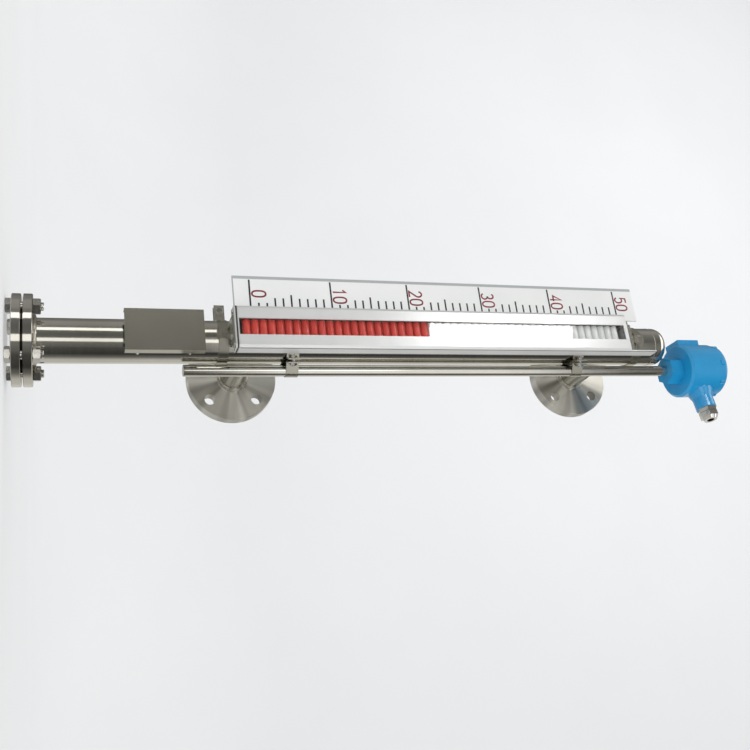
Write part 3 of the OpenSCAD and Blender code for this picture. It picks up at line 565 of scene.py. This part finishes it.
DIGITS = {
    "0": [oval()],
    "1": [[(0.2, 0.76), (0.56, 1.0), (0.56, 0.0)]],
    "2": [arc(0.5, 0.72, 0.46, 0.28, 165, -28) + [(0.02, 0.0), (1.0, 0.0)]],
    "3": [arc(0.48, 0.745, 0.42, 0.255, 150, -90), arc(0.48, 0.255, 0.5, 0.255, 90, -155)],
    "4": [[(0.74, 0.0), (0.74, 1.0), (0.0, 0.3), (1.0, 0.3)]],
    "5": [[(0.9, 1.0), (0.16, 1.0), (0.08, 0.54)] + arc(0.46, 0.33, 0.5, 0.33, 135, -150)],
}
print("digits", "".join(DIGITS))

# %% [markdown]
# The ribbon takes two points to each side of every path point, in front and behind, and skins
# the rows. At a corner it reaches further out, so the stroke keeps its width.

# %% Ribbon
def unit(a, b):
    step = Vector((b[0] - a[0], b[1] - a[1]))
    return step.normalized() if step.length > 1e-9 else step


def ribbon(work, path, stroke, film, place):
    rows = []
    for i, point in enumerate(path):
        before = unit(path[max(i - 1, 0)], point)
        after = unit(point, path[min(i + 1, len(path) - 1)])
        along = (before + after).normalized()
        normal = Vector((-along.y, along.x))
        one_side = after if after.length else before
        lean = abs(normal.dot(Vector((-one_side.y, one_side.x))))
        out = stroke / 2 / max(0.5, lean)
        corners = [(point[0] + s * out * normal.x, point[1] + s * out * normal.y) for s in (-1, 1)]
        rows.append([work.verts.new(place(x, z, y)) for y in (0.0, film) for x, z in corners])
    for a, b in zip(rows, rows[1:]):
        for j, k in ((0, 1), (1, 3), (3, 2), (2, 0)):
            work.faces.new((a[j], a[k], b[k], b[j]))
    work.faces.new((rows[0][0], rows[0][2], rows[0][3], rows[0][1]))
    work.faces.new((rows[-1][1], rows[-1][3], rows[-1][2], rows[-1][0]))


print("ribbon ready")

# %% [markdown]
# A numeral stands beside the line of every tenth mark, and its base lies just past that line.

# %% Draw the numerals
NUMERAL_H, NUMERAL_W, NUMERAL_STEP = 0.0165, 0.0078, 0.0110
NUMERAL_X, NUMERAL_LIFT, NUMERAL_FILM = -0.0520, 0.0026, 0.0001


def draw_numerals(work):
    for reading in range(0, 60, 10):
        text = str(reading)
        for i, figure in enumerate(text):
            left = NUMERAL_X + (i - len(text) / 2 + 0.5) * NUMERAL_STEP - NUMERAL_W / 2
            base = reading * SCALE_STEP + NUMERAL_LIFT
            for path in DIGITS[figure]:
                sized = [(x * NUMERAL_W, z * NUMERAL_H) for x, z in path]
                ribbon(work, sized, STROKE, NUMERAL_FILM,
                       lambda x, z, y, left=left, base=base: (left + x, SCALE_FACE - y, base + z))
    bmesh.ops.recalc_face_normals(work, faces=work.faces)


numerals = new_piece("scale_numerals", mesh_from("scale_numerals", draw_numerals))
numerals.data.materials.append(finishes["print_red"])
keep(numerals, "gauge")

# %% [markdown]
# Bolts, nuts and screws repeat all over the gauge. The CAD has them as plain solids, so
# each kind is drawn once here with its chamfers, thread and recess. A hexagon with turned
# corners is a ring of points whose height drops where the corner stands out past a circle.
# The shares below are of the width over the flats, and of the thread's pitch.

# %% Fastener shapes
STEPS = 48
TURN = [2 * math.pi * i / STEPS for i in range(STEPS)]
CORNER = math.radians(60)
CHAMFER_SHARE, THREAD_DEPTH, ROWS_PER_PITCH = 0.475, 0.55, 6


def round_row(r, z):
    return [(r * math.cos(a), r * math.sin(a), z) for a in TURN]


def hex_rows(flats, z0, z1):
    flat_r = CHAMFER_SHARE * flats
    reach = [flats / 2 / math.cos(a % CORNER - CORNER / 2) for a in TURN]
    drop = [(r - flat_r) * math.tan(CORNER / 2) for r in reach]
    lower = [(r * math.cos(a), r * math.sin(a), z0 + d) for a, r, d in zip(TURN, reach, drop)]
    upper = [(r * math.cos(a), r * math.sin(a), z1 - d) for a, r, d in zip(TURN, reach, drop)]
    return [round_row(flat_r, z0), lower, upper, round_row(flat_r, z1)]


def thread_rows(d, pitch, z0, z1):
    depth, rows = THREAD_DEPTH * pitch, []
    count = max(2, round((z1 - z0) / pitch * ROWS_PER_PITCH))
    for k in range(count + 1):
        z = z0 + (z1 - z0) * k / count
        cut = [depth * (1 - abs(2 * ((z / pitch - a / (2 * math.pi)) % 1) - 1)) for a in TURN]
        radii = [d / 2 - c for c in cut]
        rows.append([(r * math.cos(a), r * math.sin(a), z) for a, r in zip(TURN, radii)])
    return rows


def skin(work, rows, loop=False):
    rings = [[work.verts.new(point) for point in row] for row in rows]
    for a, b in list(zip(rings, rings[1:])) + ([(rings[-1], rings[0])] if loop else []):
        for i in range(STEPS):
            j = (i + 1) % STEPS
            work.faces.new((a[i], a[j], b[j], b[i]))
    if not loop:
        work.faces.new(rings[0])
        work.faces.new(rings[-1])
    bmesh.ops.recalc_face_normals(work, faces=work.faces)


print("fastener rows ready")

# %% [markdown]
# A bolt is a stack of such rows from its head to its tip. A nut is a closed loop of rows, with
# a lead at both ends of its bore. A screw has a domed head with a cross pressed into it.

# %% Bolt, nut and screw
TIP_SHARE, NUT_LEAD = 0.6, 0.06
CROSS_HALF, CROSS_ARM, CROSS_FADE, CROSS_DEPTH = 0.09, 0.3, 0.4, 0.45
CROWN_RINGS = (0.03, 0.1, 0.16, 0.22, 0.28, 0.31, 0.36, 0.42, 0.47)
CROWN_FALL, CROWN_EDGE = 0.35, 0.55


def hex_bolt(flats, head, d, length, pitch, threaded):
    def build(work):
        start = length - threaded
        rows = hex_rows(flats, -head, 0.0) + [round_row(d / 2, 0.0), round_row(d / 2, start)]
        rows += thread_rows(d, pitch, start + pitch / 4, length - pitch / 2)
        skin(work, rows + [round_row(d / 2 - TIP_SHARE * pitch, length)])
    return build


def hex_nut(flats, height, d):
    def build(work):
        r, lead = d / 2, NUT_LEAD * d
        bore = [round_row(r + lead, height), round_row(r, height - lead), round_row(r, lead),
                round_row(r + lead, 0.0)]
        skin(work, hex_rows(flats, 0.0, height) + bore, loop=True)
    return build


def cross_screw(head_d, head, d, length):
    def cross(x, y):
        arm, across = max(abs(x), abs(y)), min(abs(x), abs(y))
        inside = across < CROSS_HALF * head_d and arm < CROSS_ARM * head_d
        return CROSS_DEPTH * head * (1 - arm / (CROSS_FADE * head_d)) if inside else 0.0

    def build(work):
        rows = []
        for share in CROWN_RINGS:
            crown = -head * (1 - CROWN_FALL * (2 * share) ** 3)
            rows.append([(x, y, cross(x, y) + crown) for x, y, z in round_row(share * head_d, 0.0)])
        rows += [round_row(0.5 * head_d, -CROWN_EDGE * head), round_row(0.5 * head_d, 0.0)]
        skin(work, rows + [round_row(d / 2, 0.0), round_row(d / 2, length)])
    return build


print("three kinds of fastener")

# %% [markdown]
# One tree sets a fastener on every point of a small point mesh. Each point carries two
# attributes: the way the fastener faces, and how far it is turned round its own axis.

# %% Tree: set fasteners
setting, setting_in, setting_out = start_group(
    "set_fasteners", "GeometryNodeTree",
    [("Geometry", GEOMETRY, None), ("Part", OBJECT, None), ("Material", MATERIAL, None)],
    [("Geometry", GEOMETRY)])
part_shape = add(setting, "GeometryNodeObjectInfo", {"Object": setting_in.outputs["Part"]})
facing = add(setting, "GeometryNodeInputNamedAttribute", {"Name": "facing"},
             data_type="FLOAT_VECTOR")
spin = add(setting, "GeometryNodeInputNamedAttribute", {"Name": "spin"}, data_type="FLOAT")
aimed = add(setting, "FunctionNodeAlignRotationToVector",
            {"Vector": facing.outputs["Attribute"]}, axis="Z")
own_turn = add(setting, "FunctionNodeAxisAngleToRotation",
               {"Axis": (0.0, 0.0, 1.0), "Angle": spin.outputs["Attribute"]})
turned_part = add(setting, "FunctionNodeRotateRotation",
                  {"Rotation": aimed.outputs["Rotation"],
                   "Rotate By": own_turn.outputs["Rotation"]},
                  rotation_space="LOCAL")
set_parts = add(setting, "GeometryNodeInstanceOnPoints",
                {"Points": setting_in.outputs["Geometry"],
                 "Instance": part_shape.outputs["Geometry"],
                 "Rotation": turned_part.outputs["Rotation"]})
real_parts = add(setting, "GeometryNodeRealizeInstances", {0: set_parts.outputs[0]})
steel_parts = add(setting, "GeometryNodeSetMaterial",
                  {"Geometry": real_parts.outputs[0], "Material": setting_in.outputs["Material"]})
setting.links.new(steel_parts.outputs[0], setting_out.inputs[0])
print("tree", setting.name, len(setting.nodes), "nodes")

# %% [markdown]
# This function feeds the tree: a fastener's shape, a list of places, and the plain CAD node
# that the finished piece stands in for.

# %% Fastener setter
SHARP = math.radians(28)


def set_fasteners(node_name, build, points):
    mesh = bpy.data.meshes.new(node_name + "_points")
    mesh.from_pydata([p for p, way, turn in points], [], [])
    ways = mesh.attributes.new("facing", "FLOAT_VECTOR", "POINT")
    ways.data.foreach_set("vector", [v for p, way, turn in points for v in way])
    turns = mesh.attributes.new("spin", "FLOAT", "POINT")
    turns.data.foreach_set("value", [turn for p, way, turn in points])
    shape = new_piece(node_name + "_shape", mesh_from(node_name + "_shape", build))
    shape.data.shade_smooth()
    shape.data.set_sharp_from_angle(angle=SHARP)
    piece = run_tree(new_piece(node_name + "_dressed", mesh), setting,
                     {"Part": shape, "Material": finishes["fastener_steel"]})
    bpy.data.objects.remove(shape)
    keep(piece, "gauge")
    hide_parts(node_name)


print("fastener setter ready")

# %% [markdown]
# The places come from the CAD's own sizes. The flange bolts stand on their circle with the
# nuts on top.

# %% Set the flange bolts and nuts
UP, DOWN, BACK = (0.0, 0.0, 1.0), (0.0, 0.0, -1.0), (0.0, 1.0, 0.0)
BOLT_CIRCLE, BOLT_HEX, BOLT_D, BOLT_HEAD, NUT_H = 0.080, 0.016, 0.010, 0.0064, 0.0084
BOLT_PITCH, BOLT_THREAD = 0.0015, 0.016
bolt_low, bolt_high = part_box("flange_bolts")
nut_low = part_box("flange_nuts")[0]


def on_circle(z):
    r, angles = BOLT_CIRCLE / 2, [math.radians(45 + 90 * i) for i in range(4)]
    return [((r * math.cos(a), r * math.sin(a) - STANDOFF, z), UP, a) for a in angles]


bolt_seat = bolt_low.z + BOLT_HEAD
flange_bolt = hex_bolt(BOLT_HEX, BOLT_HEAD, BOLT_D, bolt_high.z - bolt_seat,
                       BOLT_PITCH, BOLT_THREAD)
set_fasteners("flange_bolts", flange_bolt, on_circle(bolt_seat))
set_fasteners("flange_nuts", hex_nut(BOLT_HEX, NUT_H, BOLT_D), on_circle(nut_low.z))

# %% [markdown]
# The clamp bolts go through the two ears of each clamp band, from the front to the back. Head
# and nut are shares of the bolt's diameter, and a short tail stands out of the nut.

# %% Set the clamp bolts
HEAD_SHARE, NUT_SHARE, TAIL = 0.65, 0.8, 0.0015
EAR_X, EAR_GRIP, EAR_D, EAR_HEX = -0.038, 0.009, 0.005, 0.008
EAR_PITCH, EAR_THREAD = 0.0008, 0.008


def middle_z(node_names):
    return [(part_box(n)[0].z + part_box(n)[1].z) / 2 for n in node_names]


def through_bolt(flats, d, grip, pitch, threaded):
    return hex_bolt(flats, HEAD_SHARE * d, d, grip + NUT_SHARE * d + TAIL, pitch, threaded)


def on_clamps(y):
    return [((EAR_X, y, z), BACK, 0.0) for z in middle_z(("lower_clamp_band", "upper_clamp_band"))]


set_fasteners("clamp_bolts", through_bolt(EAR_HEX, EAR_D, EAR_GRIP, EAR_PITCH, EAR_THREAD),
              on_clamps(-STANDOFF - EAR_GRIP / 2))
set_fasteners("clamp_nuts", hex_nut(EAR_HEX, NUT_SHARE * EAR_D, EAR_D),
              on_clamps(-STANDOFF + EAR_GRIP / 2))

# %% [markdown]
# A rod clip wraps chamber and rod like a belt round two wheels. Its bolt stands in the middle
# of the straight part, along the belt, so the belt's angle gives its place and direction.

# %% Set the clip bolts
CHAMBER_R, ROD_R, ROD_X, BAND_R = 0.0254, 0.007, 0.0354, 0.02635
CLIP_GRIP, CLIP_D, CLIP_HEX, CLIP_EAR = 0.006, 0.004, 0.007, 0.009
CLIP_PITCH, CLIP_THREAD = 0.0007, 0.006
belt = math.acos((CHAMBER_R - ROD_R) / ROD_X)
outward = Vector((math.cos(belt), -math.sin(belt), 0.0))
to_rod = Vector((math.sin(belt), math.cos(belt), 0.0))
ear_middle = Vector((0.0, -STANDOFF, 0.0))
ear_middle += outward * (BAND_R + CLIP_EAR / 2) + to_rod * (ROD_X * math.sin(belt) / 2)


def on_clips(along):
    return [(tuple(ear_middle + to_rod * along + Vector((0.0, 0.0, z))), tuple(to_rod), 0.0)
            for z in middle_z(("lower_rod_clip", "upper_rod_clip"))]


set_fasteners("clip_bolts", through_bolt(CLIP_HEX, CLIP_D, CLIP_GRIP, CLIP_PITCH, CLIP_THREAD),
              on_clips(-CLIP_GRIP / 2))
set_fasteners("clip_nuts", hex_nut(CLIP_HEX, NUT_SHARE * CLIP_D, CLIP_D), on_clips(CLIP_GRIP / 2))

# %% [markdown]
# The indicator's screws come in pairs at both ends of the housing, and their heads face away
# from it.

# %% Set the screws of the indicator
HEAD_H, SCREW_TURN = 0.002, 0.4


def at_both_ends(node_name, x, y):
    low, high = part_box(node_name)
    return [((side * x, y, z), way, SCREW_TURN) for side in (-1, 1)
            for z, way in ((low.z + HEAD_H, UP), (high.z - HEAD_H, DOWN))]


set_fasteners("bracket_screws", cross_screw(head_d=0.007, head=HEAD_H, d=0.004, length=0.007),
              at_both_ends("bracket_screws", x=0.009, y=-0.170))
set_fasteners("end_plate_screws", cross_screw(head_d=0.0055, head=HEAD_H, d=0.0025, length=0.015),
              at_both_ends("end_plate_screws", x=0.0207, y=-0.175))

# %% [markdown]
# Weld beads follow a path and ripple along it, because the welder adds one drop after the
# other. The path is a closed loop of edges, and the tree turns it into a bead whose radius
# swells and shrinks with the length.

# %% Tree: weld bead
beading, beading_in, beading_out = start_group(
    "weld_bead", "GeometryNodeTree",
    [("Geometry", GEOMETRY, None), ("Radius", NUMBER, 0.002), ("Drop", NUMBER, 0.0022),
     ("Ripple", NUMBER, 0.07), ("Material", MATERIAL, None)], [("Geometry", GEOMETRY)])
given = beading_in.outputs
seam_line = add(beading, "GeometryNodeMeshToCurve", {0: given["Geometry"]})
evenly = add(beading, "GeometryNodeResampleCurve",
             {"Curve": seam_line.outputs[0],
              "Length": calc(beading, "MULTIPLY", given["Drop"], 0.2)},
             mode="LENGTH")
gone = add(beading, "GeometryNodeSplineParameter").outputs["Length"]
phase = calc(beading, "MULTIPLY", calc(beading, "DIVIDE", gone, given["Drop"]), 2 * math.pi)
swell = calc(beading, "MULTIPLY_ADD", calc(beading, "SINE", phase), given["Ripple"], 1.0)
swollen = add(beading, "GeometryNodeSetCurveRadius", {"Curve": evenly.outputs[0], "Radius": swell})
ring = add(beading, "GeometryNodeCurvePrimitiveCircle",
           {"Resolution": 10, "Radius": given["Radius"]})
bead = add(beading, "GeometryNodeCurveToMesh",
           {"Curve": swollen.outputs[0], "Profile Curve": ring.outputs[0]})
soft_bead = add(beading, "GeometryNodeSetShadeSmooth", {"Geometry": bead.outputs[0]})
real_bead = add(beading, "GeometryNodeRealizeInstances", {0: soft_bead.outputs[0]})
steel_bead = add(beading, "GeometryNodeSetMaterial",
                 {"Geometry": real_bead.outputs[0], "Material": given["Material"]})
beading.links.new(steel_bead.outputs[0], beading_out.inputs[0])
print("tree", beading.name, len(beading.nodes), "nodes")

# %% [markdown]
# Three kinds of path: a saddle where a branch meets the round chamber, a neck where it meets
# its flange, and a collar round the chamber itself.

# %% Weld paths
BRANCH_R, WELD_LEG, THROAT_SHARE = 0.0167, 0.004, 0.42
SADDLE_WIDER, SADDLE_LIFT = 1.03, 0.0004
seat_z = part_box("flange_nuts")[0].z
flange_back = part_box("lower_process_flange")[0].y + WELD_LEG
throat = THROAT_SHARE * WELD_LEG


def round_angles(steps):
    return [2 * math.pi * i / steps for i in range(steps)]


def saddle(z):
    path = []
    for a in round_angles(96):
        x = BRANCH_R * math.cos(a)
        y = math.sqrt(CHAMBER_R ** 2 - x ** 2) - STANDOFF + SADDLE_LIFT
        path.append((SADDLE_WIDER * x, y, z + SADDLE_WIDER * BRANCH_R * math.sin(a)))
    return path


def neck(z):
    r, y = BRANCH_R + throat, flange_back - throat
    return [(r * math.cos(a), y, z + r * math.sin(a)) for a in round_angles(96)]


def collar(r, z):
    return [(r * math.cos(a), r * math.sin(a) - STANDOFF, z) for a in round_angles(120)]


print("weld paths ready, throat", round(throat, 5))

# %% [markdown]
# Each bead is one piece from one or more closed paths. The thin one is the cap's seam.

# %% Run the weld beads
RIPPLE, SEAM_SINK = 0.08, 0.0002


def lay_bead(name, paths, radius, drop):
    points, edges = [], []
    for path in paths:
        first = len(points)
        points += path
        edges += [(first + i, first + (i + 1) % len(path)) for i in range(len(path))]
    mesh = bpy.data.meshes.new(name)
    mesh.from_pydata(points, edges, [])
    piece = run_tree(new_piece(name, mesh), beading,
                     {"Radius": radius, "Drop": drop, "Ripple": RIPPLE,
                      "Material": finishes["weld_steel"]})
    keep(piece, "gauge")


branch_paths = [saddle(0.0), saddle(CENTRE_DISTANCE), neck(0.0), neck(CENTRE_DISTANCE)]
flange_path = collar(CHAMBER_R + throat, seat_z + throat)
cap_path = collar(CHAMBER_R - SEAM_SINK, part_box("top_cap")[0].z)
lay_bead("branch_welds", branch_paths, radius=0.0017, drop=0.0024)
lay_bead("flange_weld", [flange_path], radius=0.0019, drop=0.0026)
lay_bead("cap_seam", [cap_path], radius=0.0005, drop=0.0016)

# %% [markdown]
# The stage is a pale sheet: a floor under the gauge that sweeps up far behind it. The sheet
# glows by itself, as paper on a light table does, which keeps it even from edge to edge. Its
# front edge stops short of the strip lights, which reach below the floor. It is left out of
# the reflections, so that the steel mirrors only the studio.

# %% Floor and backdrop
FLOOR_GAP = 0.0002
FLOOR_Z = cad_low.z - FLOOR_GAP
SHEET_HALF, SHEET_FRONT = 12.0, -1.3
BEND_Y, BEND_R, BEND_STEPS, WALL_TOP = 1.4, 0.8, 16, 4.5
finish("pale_paper", (0.42, 0.423, 0.43), (0.45, 0.453, 0.46), 0.0, (0.85, 0.95), even(3.0),
       scale=0.8, bump=0.0, Emission_Color=(0.93, 0.94, 0.955, 1.0), Emission_Strength=0.40)


def sweep(work):
    bend = [math.radians(90 * i / BEND_STEPS) for i in range(BEND_STEPS + 1)]
    rows = [(SHEET_FRONT, 0.0)]
    rows += [(BEND_Y + BEND_R * math.sin(a), BEND_R - BEND_R * math.cos(a)) for a in bend]
    rows.append((BEND_Y + BEND_R, WALL_TOP))
    edges = [[work.verts.new((x, y, FLOOR_Z + z)) for y, z in rows]
             for x in (-SHEET_HALF, SHEET_HALF)]
    for i in range(len(rows) - 1):
        face = work.faces.new((edges[0][i], edges[1][i], edges[1][i + 1], edges[0][i + 1]))
        face.smooth = True


paper = new_piece("pale_sweep", mesh_from("pale_sweep", sweep))
paper.data.materials.append(finishes["pale_paper"])
paper.visible_glossy = False
print("floor at", round(FLOOR_Z, 4))

# %% [markdown]
# Lamps are set by radiance, the brightness of their surface, because that is what polished
# steel shows. The helper turns it into watts and aims the lamp. Area lights are hidden from
# the camera in every view.

# %% Light helpers
AXIS = Vector((0.0, -STANDOFF, 0.0))


def soft_light(name, place, target, size, radiance,
               colour=(1.0, 1.0, 1.0), diffuse=True, glossy=True):
    data = bpy.data.lights.new(name, "AREA")
    data.shape = "RECTANGLE"
    data.size, data.size_y = size
    data.energy = radiance * math.pi * size[0] * size[1]
    data.color = colour
    lamp = bpy.data.objects.new(name, data)
    scene.collection.objects.link(lamp)
    lamp.location = place
    aim = (Vector(target) - Vector(place)).normalized()
    lamp.rotation_euler = aim.to_track_quat("-Z", "Y").to_euler()
    lamp.visible_camera = False
    lamp.visible_diffuse = diffuse
    lamp.visible_glossy = glossy
    print(name, round(data.energy, 1), "W")


def around(degrees, distance, height):
    a = math.radians(degrees)
    return AXIS + Vector((distance * math.cos(a), distance * math.sin(a), height))


print("light helpers ready")

# %% [markdown]
# Polished steel shows the room more than itself. Two upright soft strips give the tube its
# two white lines, and end low enough to leave the top of the chamber dark. A broad fill lights
# paint and print, a smaller one the side of the housing, and a wash the backdrop. These three
# are kept out of reflections.

# %% Studio lights
STRIP_MIDDLE = AXIS + Vector((0.0, 0.0, 0.2))
soft_light("strip_near", around(-74, 1.9, 0.2), STRIP_MIDDLE, (0.55, 1.4), 1.25, (1.0, 0.985, 0.95))
soft_light("strip_far", around(-130, 1.9, 0.2), STRIP_MIDDLE, (0.5, 1.4), 1.7, (1.0, 0.985, 0.94))
soft_light("fill", around(-85, 2.6, 0.6), (0, -0.1, 0.2), (2.4, 2.4), 0.9, glossy=False)
soft_light("side_fill", around(-12, 1.8, 0.4), (0.03, -0.17, 0.25), (1.0, 1.0), 2.1, glossy=False)
soft_light("backdrop_wash", (-1.8, -0.2, 3.0), (-2.2, 2.2, 1.3), (4.5, 2.0), 2.2,
           (0.98, 0.985, 1.0), glossy=False)

# %% [markdown]
# The bright patch in the window is a lamp mirrored in the pane. A mirrored camera ray from
# that part of the window says where the panel must hang. It only shows in reflections, and it
# is narrow, so that the satin aluminium beside the window takes up little of it.

# %% Glare panel
PANE = -0.180
GLARE_LOW, GLARE_HIGH, GLARE_AIM = 0.216, 0.406, 0.315
PANEL_AWAY, PANEL_WIDTH = 0.8, 0.10
camera_mirror = Vector((camera.location.x, 2 * PANE - camera.location.y, camera.location.z))


def mirrored(z):
    on_pane = Vector((0.0, PANE, z))
    return on_pane + (on_pane - camera_mirror).normalized() * PANEL_AWAY


low_end, high_end = mirrored(GLARE_LOW), mirrored(GLARE_HIGH)
panel_at = (low_end + high_end) / 2
panel_size = (PANEL_WIDTH, (high_end - low_end).length)
soft_light("glare_panel", panel_at, (0.0, PANE, GLARE_AIM), panel_size, 12.0,
           (1.0, 0.985, 0.97), diffuse=False)
print("panel at", tuple(round(v, 3) for v in panel_at))

# %% [markdown]
# The rest of the room is a world shader that looks at the direction of a ray. It is built from
# bands: soft masks over the compass angle or over the height of the ray.

# %% World helpers
world = bpy.data.worlds.new("studio_room")
scene.world = world
world.use_nodes = True
sky = world.node_tree
sky.nodes.clear()


def band(value, low, high, soft):
    rise = remap(sky, value, low - soft, low + soft, interpolation_type="SMOOTHSTEP")
    fall = remap(sky, value, high - soft, high + soft, 1.0, 0.0, interpolation_type="SMOOTHSTEP")
    return calc(sky, "MULTIPLY", rise, fall)


def lay_over(below, mask, colour):
    return blend(sky, mask, below, (*colour, 1.0))


print("world helpers ready")

# %% [markdown]
# A ramp over the compass angle gives dark and grey walls, which the tube shows as long bands.
# A patch on the right lights the thin rod, a canopy overhead the rims and the cap, and below
# the horizon lies the pale floor. The camera itself sees a plain paper tone.

# %% World
ROOM_TINT = (1.0, 0.985, 0.925)
WALLS = [(-180, 0.36), (-157, 0.33), (-146, 0.24), (-118, 0.17), (-100, 0.13), (-88, 0.15),
         (-60, 0.20), (-45, 0.15), (-30, 0.07), (0, 0.05), (14, 0.15), (46, 0.70), (85, 0.75),
         (128, 0.14), (165, 0.24), (180, 0.36)]
ray = split(sky, add(sky, "ShaderNodeTexCoord").outputs["Generated"])
compass = calc(sky, "DEGREES", calc(sky, "ARCTAN2", ray["Y"], ray["X"]))
rise = ray["Z"]
walls = add(sky, "ShaderNodeValToRGB", {"Fac": remap(sky, compass, -180.0, 180.0)})
walls.color_ramp.interpolation = "EASE"
stops = walls.color_ramp.elements
for i, (degrees, level) in enumerate(WALLS):
    stop = stops[i] if i < 2 else stops.new((degrees + 180) / 360)
    stop.position = (degrees + 180) / 360
    stop.color = (*[level * c for c in ROOM_TINT], 1.0)

rod_patch = calc(sky, "MULTIPLY", band(compass, -94.0, -14.0, 5.0), band(rise, 0.19, 0.52, 0.05))
canopy = calc(sky, "MULTIPLY", band(compass, -172.0, -48.0, 8.0), band(rise, 0.74, 0.97, 0.04))
studio = lay_over(walls.outputs["Color"], rod_patch, (1.2, 1.185, 1.16))
studio = lay_over(studio, canopy, (2.0, 1.98, 1.92))
studio = lay_over(studio, band(rise, -1.5, -0.08, 0.04), (0.5, 0.5, 0.49))
camera_ray = add(sky, "ShaderNodeLightPath").outputs["Is Camera Ray"]
room = add(sky, "ShaderNodeBackground", {"Color": studio, "Strength": 1.0})
pale = add(sky, "ShaderNodeBackground", {"Color": (0.82, 0.825, 0.832, 1.0), "Strength": 1.0})
seen = add(sky, "ShaderNodeMixShader", {0: camera_ray, 1: room.outputs[0], 2: pale.outputs[0]})
add(sky, "ShaderNodeOutputWorld", {"Surface": seen.outputs[0]})
scene.view_settings.view_transform = "Standard"
print("world", len(WALLS), "wall tones")
